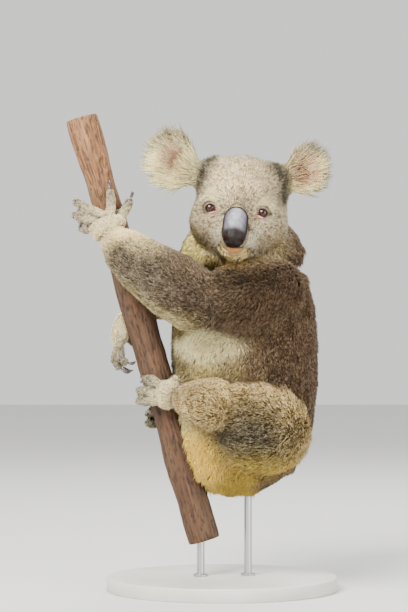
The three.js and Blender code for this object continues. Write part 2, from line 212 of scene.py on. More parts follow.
for node in ("stand_rod_perch", "stand_rod_rump"):
    low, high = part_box(node)
    rod_radius = (high.x - low.x) / 2
    floor = low.z
    profile = [
        (0, floor),
        (COLLAR_RADIUS, floor),
        (COLLAR_RADIUS, floor + COLLAR_HEIGHT * 0.7),
        (COLLAR_RADIUS - TURNED_EDGE, floor + COLLAR_HEIGHT),
        (rod_radius, floor + COLLAR_HEIGHT),
        (rod_radius, high.z - TURNED_EDGE),
        (rod_radius - TURNED_EDGE, high.z),
        (0, high.z),
    ]
    foot = Vector(((low.x + high.x) / 2, (low.y + high.y) / 2, 0))
    rod = mesh_piece(node + "_steel", *turned(profile, ROD_SECTORS, foot), rod_steel)
    rod.data.set_sharp_from_angle(angle=math.radians(35))
    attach(rod, "root")
    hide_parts(node)

# ---- The perch ---------------------------------------------------------------------------------
# A cut length of a young gum trunk, reddish tan, smooth-barked, with shallow lengthwise cracks,
# a few old branch scars and thin grey flakes. Both ends are sawn square across.


def corners_of(node):
    """The corner points of a CAD node, each one once, in metres."""
    points = np.array([v.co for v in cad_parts[node].data.vertices], float)
    return np.unique(points.round(6), axis=0)


def middle(node):
    """The middle of a CAD node's box."""
    low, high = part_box(node)
    return (low + high) / 2


def fractal(points, scale, octaves=4, seed=0.0):
    """Fractal noise of about -1 to 1 at each point; scale is the size of its largest lumps in metres."""
    shift = Vector((seed, 3.1 * seed, 7.7))
    return np.array([noise.fractal(Vector(p) / scale + shift, 0.9, 2.0, octaves) for p in points])


def smoothstep(low, high, value):
    """0 below the low value and 1 above the high one, running softly from one to the other."""
    share = np.clip((value - low) / (high - low), 0, 1)
    return share * share * (3 - 2 * share)


PERCH_RADIUS = 0.020
PERCH_RINGS = 340
PERCH_SECTORS = 96
CRACK_DEPTH = 0.0011
BARK_LUMPS = 0.0008
SCARS = [(0.13, 2.2, 0.010), (0.315, 4.4, 0.008), (0.505, 5.3, 0.011)]  # height, bearing, radius
SCAR_LIP, SCAR_PIT = 0.0018, 0.0016  # how far a scar's rim stands up, and how deep its middle is
SAWN_EDGE, SAWN_REACH = 0.0008, 0.0012
SWELLS = [(0.0009, 0, 0.041, 0.0), (0.0007, 0, 0.017, 1.3), (0.0005, 2, 0.090, 0.0)]

corners = corners_of("perch")
centre = corners.mean(0)
perch_along = np.linalg.svd(corners - centre, full_matrices=False)[2][0]
perch_along = Vector(perch_along * np.sign(perch_along[2]))
heights = (corners - centre) @ np.array(perch_along)
perch_length = heights.max() - heights.min()
perch_foot = Vector(centre) + perch_along * heights.min()
perch_side = Vector((perch_along.z, 0, -perch_along.x)).normalized()
perch_other = perch_along.cross(perch_side)

height, bearing = np.meshgrid(
    np.linspace(0, perch_length, PERCH_RINGS),
    np.linspace(0, 2 * math.pi, PERCH_SECTORS, endpoint=False),
    indexing="ij",
)
height, bearing = height.ravel(), bearing.ravel()
# Each swell: how high it is, how often it comes round the trunk, how long it is, and its start.
swell = sum(
    high * np.sin(lobes * bearing + height / long + start) for high, lobes, long, start in SWELLS
)
round_trunk = np.column_stack(
    [np.cos(bearing) * PERCH_RADIUS, np.sin(bearing) * PERCH_RADIUS, height]
)
streaks = fractal(round_trunk * [1, 1, 0.11], 0.0055, 4, 2.0)
lumps = fractal(round_trunk * [1, 1, 0.5], 0.016, 3, 5.0)
cracks = smoothstep(0.62, 0.95, 1 - np.abs(streaks) * 2.2)
lift = BARK_LUMPS * lumps - CRACK_DEPTH * cracks * smoothstep(-0.3, 0.4, lumps + 0.2)
for scar_height, scar_bearing, scar_radius in SCARS:
    across = (np.mod(bearing - scar_bearing + math.pi, 2 * math.pi) - math.pi) * PERCH_RADIUS
    away = np.hypot(across, (height - scar_height) * 0.8) / scar_radius
    lift += SCAR_LIP * np.exp(-((away - 0.8) ** 2) / 0.06) - SCAR_PIT * np.exp(-(away**2) / 0.25)
end = np.minimum(height, perch_length - height)
lift -= SAWN_EDGE * np.exp(-end / SAWN_REACH)
radius = PERCH_RADIUS + swell + lift
basis = np.array([perch_side, perch_other, perch_along])
points = np.array(perch_foot) + (
    np.column_stack([np.cos(bearing) * radius, np.sin(bearing) * radius, height]) @ basis
)
faces = []
for ring in range(PERCH_RINGS - 1):
    low = ring * PERCH_SECTORS
    for i in range(PERCH_SECTORS):
        j = (i + 1) % PERCH_SECTORS
        faces.append((low + i, low + j, low + PERCH_SECTORS + j, low + PERCH_SECTORS + i))
bark_faces = len(faces)
points = np.vstack([points, perch_foot, perch_foot + perch_along * perch_length])
foot_corner, top_corner = len(points) - 2, len(points) - 1
last_ring = (PERCH_RINGS - 1) * PERCH_SECTORS
for i in range(PERCH_SECTORS):
    j = (i + 1) % PERCH_SECTORS
    faces.append((foot_corner, j, i))
    faces.append((top_corner, last_ring + i, last_ring + j))


def store(mesh, name, kind, values, domain="POINT"):
    """Stores a value for each point, or each corner of a face, under that name."""
    field = {"FLOAT": "value", "FLOAT_VECTOR": "vector", "FLOAT_COLOR": "color", "FLOAT2": "vector"}
    layer = mesh.attributes.new(name, kind, domain)
    layer.data.foreach_set(field[kind], np.ascontiguousarray(values, np.float32).ravel())


def read(tree, name, output="Fac"):
    """The value stored on the mesh under that name."""
    return new_node(tree, "ShaderNodeAttribute", attribute_name=name).outputs[output]


def math_node(tree, operation, first, second=0.5, third=0.0):
    """A sum on one or more values."""
    node = tree.nodes.new("ShaderNodeMath")
    node.operation = operation
    for socket, value in zip(node.inputs, (first, second, third)):
        plug(tree, socket, value)
    return node.outputs["Value"]


def times(tree, first, second):
    """One value multiplied by another."""
    return math_node(tree, "MULTIPLY", first, second)


def squares(tree, first, second):
    """The sum of two values' squares."""
    return math_node(tree, "ADD", *[math_node(tree, "POWER", value, 2.0) for value in (first, second)])


def mix(tree, share, first, second, blend="MIX"):
    """One colour laid over another."""
    node = new_node(tree, "ShaderNodeMix", data_type="RGBA", blend_type=blend)
    for index, value in ((0, share), (6, first), (7, second)):
        plug(tree, node.inputs[index], value)
    return node.outputs[2]


def shaded(tree, colour, shade):
    """A colour multiplied by another."""
    return mix(tree, 1.0, colour, shade, "MULTIPLY")


def fade(tree, value, none_at, all_at):
    """0 where the value is at one number, running evenly to 1 where it is at the other."""
    return ramp(tree, value, sorted([(none_at, [0.0, 0.0, 0.0, 1.0]), (all_at, [1.0, 1.0, 1.0, 1.0])]))


bark, tree, shader = new_material("bark", Roughness=0.82)
trunk_place = read(tree, "trunk_place", "Vector")
streak = grain_over(tree, trunk_place, 330.0, 6.0, stretch=(1, 1, 0.06), Roughness=0.65)
patch = grain_over(tree, trunk_place, 48.0, 4.0, stretch=(1, 1, 0.35))
speck = grain_over(tree, trunk_place, 900.0, 2.0)
warm = ramp(
    tree,
    streak,
    [
        (0.25, linear(74, 46, 26)),
        (0.45, linear(118, 80, 48)),
        (0.6, linear(146, 102, 64)),
        (0.8, linear(176, 130, 84)),
    ],
)
warm = mix(tree, times(tree, fade(tree, patch, 0.45, 0.62), 0.45), warm, linear(146, 116, 80))
warm = mix(tree, times(tree, read(tree, "crack"), 0.8), warm, linear(56, 34, 20))
warm = mix(tree, times(tree, fade(tree, speck, 0.62, 0.68), 0.35), warm, linear(60, 38, 22))
above_floor = new_node(tree, "ShaderNodeSeparateXYZ", Vector=object_place(tree)).outputs["Z"]
# The bark is darker towards the floor: a third of its colour below 0.4 m, and nearly all of it above 0.56 m.
darker_below = ramp(tree, above_floor, [(0.40, [0.30, 0.28, 0.26, 1]), (0.56, [0.95, 0.95, 0.95, 1])])
feed(tree, shader, Base_Color=shaded(tree, warm, darker_below))
bump(tree, shader, math_node(tree, "ADD", streak, times(tree, speck, 0.3)), 0.0007, 0.8)

end_grain, tree, shader = new_material("end_grain", Roughness=0.85)
trunk_place = read(tree, "trunk_place", "Vector")
split = new_node(tree, "ShaderNodeSeparateXYZ", Vector=trunk_place)
out = math_node(tree, "SQRT", squares(tree, split.outputs["X"], split.outputs["Y"]))
wobble = grain_over(tree, trunk_place, 120.0, 3.0)
years = math_node(tree, "ADD", times(tree, out, 3600.0), times(tree, wobble, 9.0))
rings = math_node(tree, "SINE", years)
late_wood = math_node(tree, "MULTIPLY_ADD", rings, 0.5, 0.5)
sawn = ramp(tree, late_wood, [(0.2, linear(196, 160, 118)), (0.9, linear(160, 118, 82))])
feed(tree, shader, Base_Color=sawn)
bump(tree, shader, rings, 0.0002, 0.5)

perch = mesh_piece("perch_trunk", points, faces, bark)
perch.data.materials.append(end_grain)
slots = np.zeros(len(faces), int)
slots[bark_faces:] = 1
perch.data.polygons.foreach_set("material_index", slots)
flat_place = np.vstack([round_trunk, [0, 0, 0], [0, 0, perch_length]])
store(perch.data, "trunk_place", "FLOAT_VECTOR", flat_place)
store(perch.data, "crack", "FLOAT", np.append(cracks, [0, 0]))
perch.data.set_sharp_from_angle(angle=math.radians(50))
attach(perch, "root")
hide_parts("perch")

# ---- The skin ----------------------------------------------------------------------------------
# One hide over the whole animal, without a seam. It lies inside the solids of flesh by the depth
# of the coat, which is deep on the back and limbs, short on the face and very short on the paws.

FLESH = {
    # node: how deep the coat lies on it, and how long its hair is, in metres
    "torso": (0.0090, 0.0125),
    "neck": (0.0095, 0.0145),
    "head": (0.0062, 0.0085),
    "ear_left": (0.0040, 0.011),
    "ear_right": (0.0040, 0.011),
    "left_upper_arm": (0.0085, 0.0115),
    "right_upper_arm": (0.0085, 0.0115),
    "left_forearm": (0.0072, 0.0098),
    "right_forearm": (0.0072, 0.0098),
    "left_hand": (0.0015, 0.0042),
    "right_hand": (0.0015, 0.0042),
    "left_thigh": (0.0090, 0.0120),
    "right_thigh": (0.0090, 0.0120),
    "left_shank": (0.0070, 0.0095),
    "right_shank": (0.0070, 0.0095),
    "left_foot": (0.0015, 0.0042),
    "right_foot": (0.0015, 0.0042),
}
SKIN_CELL = 0.0030  # the size of the hide's smallest faces
FLESH_NAMES = list(FLESH)

# The head's own frame: across it from its right eye to its left, forwards, and up, from a place
# between the eyes that is straight above the nose.
head_across = (middle("eye_left") - middle("eye_right")).normalized()
head_up = (Vector((0, 0, 1)) - head_across * head_across.z).normalized()
head_forward = head_across.cross(head_up)
brow = (middle("eye_left") + middle("eye_right")) / 2
brow += head_across * (middle("nose") - brow).dot(head_across)
HEAD_BASIS = np.array([head_across, head_forward, head_up])


def in_head(points):
    """Points as (across, forwards, up) from the brow."""
    return (np.atleast_2d(points) - np.array(brow)) @ HEAD_BASIS.T


def from_head(across, forwards, up):
    return brow + head_across * across + head_forward * forwards + head_up * up


# An ear's hide is smaller than its fur: it is drawn in towards its root, and is thinner.
EAR_HIDE = 0.72
EAR_HIDE_THICKNESS = 0.62
ears = {}
for node in ("ear_left", "ear_right"):
    corners = corners_of(node)
    centre = corners.mean(0)
    axes = np.linalg.svd(corners - centre, full_matrices=False)[2]
    front = axes[2] * (1 if axes[2] @ np.array(head_forward) > 0 else -1)
    spread = np.abs((corners - centre) @ axes[1]).max()
    towards = np.array(from_head(0, -0.055, 0.02)) - centre
    towards -= front * (towards @ front)
    towards /= np.linalg.norm(towards)
    ears[node] = {
        "middle": centre,
        "front": front,
        "radius": spread,
        "root": centre + towards * spread * 0.92,
        "out": -towards,
        "side": np.cross(front, towards),
    }


def on_hide(ear, point):
    """Where a point of the ear's solid lies on its hide."""
    from_root = np.array(point) - ear["root"]
    thick = from_root @ ear["front"]
    flat = from_root - thick * ear["front"]
    return Vector(ear["root"] + flat * EAR_HIDE + ear["front"] * thick * EAR_HIDE_THICKNESS)


def mesh_from(shell, name):
    """The shell as a mesh of that name."""
    mesh = bpy.data.meshes.new(name)
    shell.to_mesh(mesh)
    shell.free()
    return mesh


def shell_of(nodes, drawn_in=False):
    """The closed meshes of CAD nodes in one shell, with any ear drawn in to its hide if asked."""
    shell = bmesh.new()
    for node in nodes:
        copy = bmesh.new()
        copy.from_mesh(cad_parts[node].data)
        bmesh.ops.remove_doubles(copy, verts=copy.verts, dist=1e-6)
        if drawn_in and node in ears:
            for vertex in copy.verts:
                vertex.co = on_hide(ears[node], vertex.co)
        mesh = mesh_from(copy, "copy")
        shell.from_mesh(mesh)
        bpy.data.meshes.remove(mesh)
    return shell


def surface_of(nodes, drawn_in=False):
    """The surface of CAD nodes, to find the nearest point or the first hit on."""
    shell = shell_of(nodes, drawn_in)
    surface = BVHTree.FromBMesh(shell)
    shell.free()
    return surface


def remeshed(piece, cell):
    """Gives the piece a modifier that makes one surface of even cells of all that it holds."""
    remesh = piece.modifiers.new("one_surface", "REMESH")
    remesh.mode = "VOXEL"
    remesh.voxel_size = cell


def made_plain(piece):
    """Makes the piece's mesh what its modifiers make of it, and takes them off."""
    depsgraph = bpy.context.evaluated_depsgraph_get()
    mesh = bpy.data.meshes.new_from_object(piece.evaluated_get(depsgraph))
    piece.modifiers.clear()
    raw, piece.data = piece.data, mesh
    bpy.data.meshes.remove(raw)
    mesh.name = piece.name
    return mesh


IN_THE_FACE = ["nose", "eye_left", "eye_right"]
hide = new_piece("hide", mesh_from(shell_of(FLESH_NAMES + IN_THE_FACE, drawn_in=True), "hide"))
remeshed(hide, SKIN_CELL)
mesh = made_plain(hide)
bpy.data.objects.remove(hide)

# Only the outermost sheet is kept: what the remesh leaves sealed inside is dropped.
shell = bmesh.new()
shell.from_mesh(mesh)
bpy.data.meshes.remove(mesh)
unseen = set(shell.verts)
islands = []
while unseen:
    island = {unseen.pop()}
    edge = list(island)
    while edge:
        next_to = {e.other_vert(v) for v in edge for e in v.link_edges}
        edge = [v for v in next_to if v in unseen]
        unseen.difference_update(edge)
        island.update(edge)
    islands.append(island)
islands.sort(key=len)
for island in islands[:-1]:
    bmesh.ops.delete(shell, geom=list(island), context="VERTS")
bmesh.ops.triangulate(shell, faces=shell.faces)
shell.verts.ensure_lookup_table()
shell.verts.index_update()
points = np.array([v.co for v in shell.verts])
triangles = np.array([[v.index for v in f.verts] for f in shell.faces])
pairs = np.array([[v.index for v in e.verts] for e in shell.edges])
shell.free()
neighbours = np.bincount(pairs.ravel(), minlength=len(points))


def averaged(values):
    """The mean of each point's neighbours."""
    total = np.zeros_like(values)
    np.add.at(total, pairs[:, 0], values[pairs[:, 1]])
    np.add.at(total, pairs[:, 1], values[pairs[:, 0]])
    return total / neighbours.reshape([-1] + [1] * (values.ndim - 1))


def outward(points):
    """The unit normal at each point."""
    a, b, c = (points[triangles[:, i]] for i in range(3))
    flat = np.cross(b - a, c - a)
    normals = np.zeros_like(points)
    for i in range(3):
        np.add.at(normals, triangles[:, i], flat)
    return normals / np.maximum(np.linalg.norm(normals, axis=1), 1e-12)[:, None]


# Which part of the body each point belongs to, running softly from one part to the next.
BORDER = 0.006
surfaces = {node: surface_of([node], drawn_in=True) for node in FLESH_NAMES}
distances = np.array(
    [[surfaces[node].find_nearest(p)[3] for node in FLESH_NAMES] for p in map(Vector, points)]
)
shares = np.exp(-(distances - distances.min(1, keepdims=True)) / BORDER)
shares /= shares.sum(1, keepdims=True)
BORDER_TURNS = 6
for _ in range(BORDER_TURNS):
    shares = 0.5 * shares + 0.5 * averaged(shares)


def of_parts(*words):
    """How much each point belongs to the parts whose names hold one of these words."""
    return sum(shares[:, i] for i, node in enumerate(FLESH_NAMES) if any(w in node for w in words))


paws, on_ears, on_head = of_parts("hand", "foot"), of_parts("ear_l", "ear_r"), of_parts("head")

# Creases between limb and trunk are filled as hide fills them; the digits keep their shape.
FILL_TURNS = 16
loose = (0.55 * (1 - paws) * (1 - 0.8 * on_ears))[:, None] + 0.03
for _ in range(FILL_TURNS):
    points = points + loose * (averaged(points) - points)
    points = points - 0.52 * loose * (averaged(points) - points)

# The coat's depth everywhere: the face's gets short towards the nose and round the eyes.
SNOUT_DEPTH, SNOUT_LENGTH = 0.0026, 0.0052
depth = shares @ np.array([FLESH[node][0] for node in FLESH_NAMES])
length = shares @ np.array([FLESH[node][1] for node in FLESH_NAMES])
face = in_head(points)
NOSE_MIDDLE = in_head(middle("nose"))[0]
EYES = {side: in_head(middle("eye_" + side))[0] for side in ("left", "right")}
eye_radius = (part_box("eye_left")[1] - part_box("eye_left")[0]).x / 2


def near(place, reach, points=None):
    """1 at a place in the head's frame, running out to 0 at the reach along each of its axes."""
    away = np.linalg.norm(((face if points is None else points) - place) / reach, axis=1)
    return 1 - smoothstep(0.0, 1.0, away)


snout = near(NOSE_MIDDLE + [0, -0.01, -0.004], np.array([0.062, 0.075, 0.060]))
round_eyes = sum(near(EYES[side], np.array([0.024, 0.03, 0.022])) for side in EYES)
short = np.clip(1.15 * snout + 0.9 * np.clip(round_eyes, 0, 1), 0, 1)
depth = depth * (1 - on_head * short) + SNOUT_DEPTH * on_head * short
length = length * (1 - on_head * short) + SNOUT_LENGTH * on_head * short
for _ in range(10):
    depth = averaged(depth)
    length = averaged(length)

INSET_STEPS = 5
for _ in range(INSET_STEPS):
    points = points - outward(points) * (depth / INSET_STEPS)[:, None]
    points = points + 0.35 * (1 - paws)[:, None] * (averaged(points) - points)

# All that draws the hide in where the body is narrow or round. So it is let out again, or in,
# until the solids' own surface is as far above it as the coat is deep.
SEAM = 0.0015  # two solids that are nearer than this are one body
COVER_MOST = 0.024
LET_IN, LET_OUT = 0.003, 0.008
whole_body = surface_of([node for node in FLESH_NAMES if node not in ears] + IN_THE_FACE)


def cover(point, normal):
    """How much flesh lies over a point, out along its normal and through the seams between solids."""
    far, out = 0.0, None
    for _ in range(8):
        hit, facing, _, ahead = whole_body.ray_cast(point + normal * far, normal, COVER_MOST)
        if hit is None or (out is not None and facing.dot(normal) < 0 and far + ahead - out > SEAM):
            break
        far += ahead + 1e-5
        if facing.dot(normal) > 0:
            out = far
    return out


for evened in (10, 4):
    normals = outward(points)
    covered = [cover(Vector(p), Vector(n)) for p, n in zip(points, normals)]
    let_out = np.array([0.0 if c is None else c - d for c, d in zip(covered, depth)])
    let_out = np.clip(let_out, -LET_IN, LET_OUT + 0.006 * paws) * (1 - on_ears)
    for _ in range(evened):
        let_out += 0.8 * (1 - 0.8 * paws) * (averaged(let_out) - let_out)
    points = points + normals * let_out[:, None]
    for _ in range(2):
        points = points + 0.4 * (1 - 0.7 * paws)[:, None] * (averaged(points) - points)


def sides_of(triangles):
    """The pairs of points that each triangle's sides join."""
    return np.sort(triangles[:, [[0, 1], [1, 2], [2, 0]]], axis=2).reshape(-1, 2)


def refined(table, triangles, chosen):
    """Splits the chosen triangles in four and their neighbours to match. New rows lie midway."""
    edges, edge = np.unique(sides_of(triangles), axis=0, return_inverse=True)
    edge = edge.reshape(-1, 3)
    split = np.zeros(len(edges), bool)
    split[edge[chosen]] = True
    new = (np.cumsum(split) - 1 + len(table))[edge]
    table = np.vstack([table, table[edges[split]].mean(1)])
    count = split[edge].sum(1)
    made = [triangles[count == 0]]
    for turn in range(3):
        a, b, c = np.roll(triangles, -turn, axis=1).T
        ab, bc, ca = np.roll(new, -turn, axis=1).T
        ab_split, _, ca_split = np.roll(split[edge], -turn, axis=1).T
        one = (count == 1) & ab_split
        two = (count == 2) & ~ca_split
        four = count == 3
        made += [np.column_stack(t)[one] for t in ((a, ab, c), (ab, b, c))]
        made += [np.column_stack(t)[two] for t in ((a, ab, bc), (a, bc, c), (ab, b, bc))]
        made += [np.column_stack((a, ab, ca))[four]]
        if turn == 0:
            made += [np.column_stack((ab, bc, ca))[four]]
    return table, np.vstack(made)


# The face and the paws are drawn finer than the rest, and the eyes and the mouth finer again.
FACE_REACH = 0.074
FINER = [
    # places in the head's frame, how far round each, in metres
    ([(0, 0, -0.012)], FACE_REACH),
    ([(0, 0.03, -0.036), EYES["left"], EYES["right"]], 0.021),
    ([EYES["left"], EYES["right"]], 0.0140),
]
table = np.column_stack([points, shares, depth, length, np.zeros(len(points))])
for places, reach in FINER:
    centres = in_head(table[triangles, :3].mean(1))
    chosen = np.any([np.linalg.norm(centres - place, axis=1) < reach for place in places], axis=0)
    chosen &= centres[:, 1] > -0.05
    if reach == FACE_REACH:
        chosen |= paws[triangles].mean(1) > 0.3
    first_new = len(table)
    table, triangles = refined(table, triangles, chosen)
    table[first_new:, -1] = 1
points, shares, (depth, length, fine) = table[:, :3], table[:, 3:-3], table[:, -3:].T
pairs = np.unique(sides_of(triangles), axis=0)
neighbours = np.bincount(pairs.ravel(), minlength=len(points))
part = {node: shares[:, i] for i, node in enumerate(FLESH_NAMES)}
nearest = shares.argmax(1)
paws, on_ears, on_head = of_parts("hand", "foot"), of_parts("ear_l", "ear_r"), of_parts("head")
for i in np.flatnonzero(paws > 0.3):
    at, normal, _, _ = surfaces[FLESH_NAMES[nearest[i]]].find_nearest(Vector(points[i]))
    target = np.array(at - normal * depth[i])
    points[i] += smoothstep(0.3, 0.7, paws[i]) * (target - points[i])
for _ in range(6):
    points = points + 0.5 * fine[:, None] * (1 - 0.55 * paws[:, None]) * (averaged(points) - points)

# An ear is cupped: its front is hollow, and its rim stands round the hollow.
EAR_HOLLOW = 0.0075
for node, ear in ears.items():
    from_middle = points - (ear["root"] + (ear["middle"] - ear["root"]) * EAR_HIDE)
    flat = from_middle - np.outer(from_middle @ ear["front"], ear["front"])
    within = 1 - smoothstep(0.1, 0.8, np.linalg.norm(flat, axis=1) / (ear["radius"] * EAR_HIDE))
    facing = smoothstep(0.0, 0.5, outward(points) @ ear["front"])
    points = points - np.outer(EAR_HOLLOW * within * facing * part[node], ear["front"])

# The lids lie on the eyeball as a thick fold round an almond-shaped opening, which is drawn out
# and down at its inner corner. Within the opening the hide turns in behind the ball.
LID = 0.0009
LID_WIDE = 0.0056
LID_HIGH, LID_LOW = 0.0050, 0.0056
CORNER_BEARING, CORNER_REACH, CORNER_WIDE = -0.42, 0.0021, 0.26
OUTER_REACH, OUTER_WIDE = 0.0007, 0.35
CREASE_AWAY, CREASE_HALF, CREASE_DEEP = 0.0034, 0.0008, 0.0007  # the crease over the upper lid
LID_TUCK, LID_IN = 0.35, 0.004  # how the opening's edge turns in behind the ball
LID_BLEND = 0.0018
SOCKET_FULL, SOCKET_REACH = 0.0115, 0.0150


def opening(bearing):
    """How far the lids' edge is from the eye's middle; bearing 0 is towards the nose, and up is positive."""
    high = np.where(np.sin(bearing) > 0, LID_HIGH, LID_LOW)
    edge = 1 / np.hypot(np.cos(bearing) / LID_WIDE, np.sin(bearing) / high)
    outer = np.abs(np.abs(bearing) - math.pi)
    edge += CORNER_REACH * np.exp(-(((bearing - CORNER_BEARING) / CORNER_WIDE) ** 2))
    return edge + OUTER_REACH * np.exp(-((outer / OUTER_WIDE) ** 2))


lid_edge = np.full(len(points), 1.0)  # how far outside the lids' edge each point lies, in metres
lid_bearing = np.zeros(len(points))
for eye in EYES.values():
    face = in_head(points)
    across, up = (face[:, 0] - eye[0]) * -np.sign(eye[0]), face[:, 2] - eye[2]
    away, bearing = np.hypot(across, up), np.arctan2(up, across)
    edge = opening(bearing)
    here = (away < SOCKET_REACH) & (face[:, 1] > -0.02) & (on_head > 0.5)
    away = np.where(np.abs(away - edge) < 0.0002, edge, away)
    within = away < edge
    turned_in = np.clip(1 - away / edge, 0, 1)
    new_away = np.where(within, edge * (1 - LID_TUCK * turned_in), away)
    ball = np.sqrt(np.clip((eye_radius + LID) ** 2 - new_away**2, 0, None))
    hide_at = face[:, 1]
    lid = 0.5 * (ball + hide_at + np.sqrt((ball - hide_at) ** 2 + LID_BLEND**2))
    crease = np.exp(-(((away - edge - CREASE_AWAY) / CREASE_HALF) ** 2))
    lid -= CREASE_DEEP * (crease * smoothstep(-0.2, 0.6, np.sin(bearing)))
    lid = np.where(within, lid - (lid + LID_IN) * smoothstep(0.0, 0.40, turned_in), lid)
    share = np.where(here, 1 - smoothstep(SOCKET_FULL, SOCKET_REACH, away), 0.0)
    face[:, 1] += share * (lid - hide_at)
    scale = np.where(here, new_away / np.maximum(np.hypot(across, up), 1e-6), 1.0)
    face[:, 0] = np.where(here, eye[0] + (face[:, 0] - eye[0]) * scale, face[:, 0])
    face[:, 2] = np.where(here, eye[2] + up * scale, face[:, 2])
    lid_bearing = np.where(here, bearing, lid_bearing)
    lid_edge = np.where(here, np.where(within, -turned_in * edge, away - edge), lid_edge)
    points = np.array(brow) + face @ HEAD_BASIS

# The mouth: a groove that runs under the nose and up on both sides of it. Below it lies the half
# moon of the lower jaw: the bare lip, with a rim of short fur as wide as the nose.
MOUTH_HALF = 0.0182
MOUTH_UP = -0.0474
MOUTH_RISE = 0.0030
LIP_HALF, LIP_HIGH = 0.0142, 0.0086
JAW_HIGH = 0.0046
LIP_OUT, JAW_OUT = 0.0008, 0.0028  # how far they stand out
GROOVE_HALF, GROOVE_DEEP = 0.0013, 0.0024
FOLD_BELOW, FOLD_HALF, FOLD_DEEP = 0.0020, 0.0019, 0.0030  # the fold of skin below the jaw
face = in_head(points)
aside = face[:, 0] / MOUTH_HALF
below_mouth = MOUTH_UP + MOUTH_RISE * aside**2 - face[:, 2]
ahead = (1 - smoothstep(0.85, 1.15, np.abs(aside))) * smoothstep(0, 0.01, face[:, 1]) * on_head
into_mouth = np.exp(-((below_mouth / GROOVE_HALF) ** 2)) * ahead
lip_low = LIP_HIGH * np.sqrt(np.clip(1 - (face[:, 0] / LIP_HALF) ** 2, 0, 1)) - 0.0004
jaw_low = (LIP_HIGH + JAW_HIGH) * np.sqrt(np.clip(1 - 0.96 * aside**2, 0.0, 1))
below_lip = below_mouth - lip_low
below_jaw = below_mouth - jaw_low
on_lip = smoothstep(0.0, 0.0010, below_mouth) * (1 - smoothstep(-0.0008, 0.0006, below_lip)) * ahead
on_jaw = smoothstep(-0.0006, 0.0012, below_lip) * smoothstep(-0.001, 0.001, below_mouth)
on_jaw = on_jaw * (1 - smoothstep(-0.0010, 0.0006, below_jaw)) * ahead
under_jaw = np.exp(-(((below_jaw - FOLD_BELOW) / FOLD_HALF) ** 2)) * ahead
face[:, 1] += LIP_OUT * on_lip + JAW_OUT * on_jaw - GROOVE_DEEP * into_mouth - FOLD_DEEP * under_jaw
points = np.array(brow) + face @ HEAD_BASIS

normals = outward(points)
face = in_head(points)

# The way the hair lies: from each part's near end towards its far end, and on the head away from
# the nose, over the crown and down the cheeks. On an ear it fans out from the root to the rim.
LIMB = {
    "torso": (Vector((0.10, 0, 1)), Vector((0, 0, 0))),
    "neck": (middle("head") + Vector((0, 0, 0.03)), middle("torso")),
}
above_shoulder = middle("neck") + Vector((0.05, 0, 0.08))
for side in ("left_", "right_"):
    LIMB[side + "upper_arm"] = (above_shoulder, middle(side + "forearm"))
    LIMB[side + "forearm"] = (middle(side + "upper_arm"), middle(side + "hand"))
    LIMB[side + "thigh"] = (middle(side + "thigh") + Vector((0.05, 0, 0.04)), middle(side + "shank"))
    LIMB[side + "shank"] = (middle(side + "thigh"), middle(side + "foot"))
lie = np.zeros_like(points)
for node in FLESH_NAMES:
    if node in LIMB:
        start, end = LIMB[node]
        way = np.tile(np.array((end - start).normalized()), (len(points), 1))
    elif node in ears:
        way = points - ears[node]["root"]
    elif node == "head":
        way = points - np.array(from_head(0, NOSE_MIDDLE[1] + 0.02, -0.012))
        way = way / np.linalg.norm(way, axis=1)[:, None] + np.array([0, 0, -0.25])
    else:
        limb = node.replace("hand", "forearm").replace("foot", "shank")
        way = points - np.array(middle(limb))
    lie += part[node][:, None] * way / np.linalg.norm(way, axis=1)[:, None]
LIE_TURNS = 24
for _ in range(LIE_TURNS):
    lie -= normals * (lie * normals).sum(1)[:, None]
    lie /= np.linalg.norm(lie, axis=1)[:, None] + 1e-9
    lie = averaged(lie)
lie -= normals * (lie * normals).sum(1)[:, None]
lie /= np.linalg.norm(lie, axis=1)[:, None] + 1e-9

# An ear's hair streams away from the head to the ear's full outline: it lies along the middle of
# the ear, and stands straight out from the rim.
EAR_STREAM = 0.45
EAR_HAIR = (0.010, 0.030)
for node, ear in ears.items():
    full = surface_of([node])
    for i in np.flatnonzero(part[node] > 0.4):
        away = points[i] - ear["root"]
        stream = away / np.linalg.norm(away) + EAR_STREAM * ear["out"]
        stream -= ear["front"] * (stream @ ear["front"]) * 0.7
        stream /= np.linalg.norm(stream)
        hit = full.ray_cast(Vector(points[i]), Vector(stream))
        hair = np.clip(hit[3] if hit[0] else 0.0, *EAR_HAIR)
        share = smoothstep(0.4, 0.8, part[node][i])
        lifted = max(stream @ normals[i], 0.0)
        flat = stream - normals[i] * (stream @ normals[i])
        depth[i] += share * (0.0030 + hair * lifted - depth[i])
        length[i] += share * (hair * math.sqrt(1 - min(lifted, 0.97) ** 2) - length[i])
        lie[i] = lie[i] * (1 - share) + share * flat / (np.linalg.norm(flat) + 1e-9)

# The head's corners, in front of the ears' roots, carry a deeper fluff.
FLUFF_DEPTH, FLUFF_LENGTH = 0.0150, 0.0010
for corner in ((0.048, -0.018, 0.066), (-0.046, -0.018, 0.066)):
    fluff = on_head * near(corner, np.array([0.030, 0.05, 0.034]), face) * (1 - on_ears)
    depth = depth + FLUFF_DEPTH * fluff
    length = length + FLUFF_LENGTH * fluff
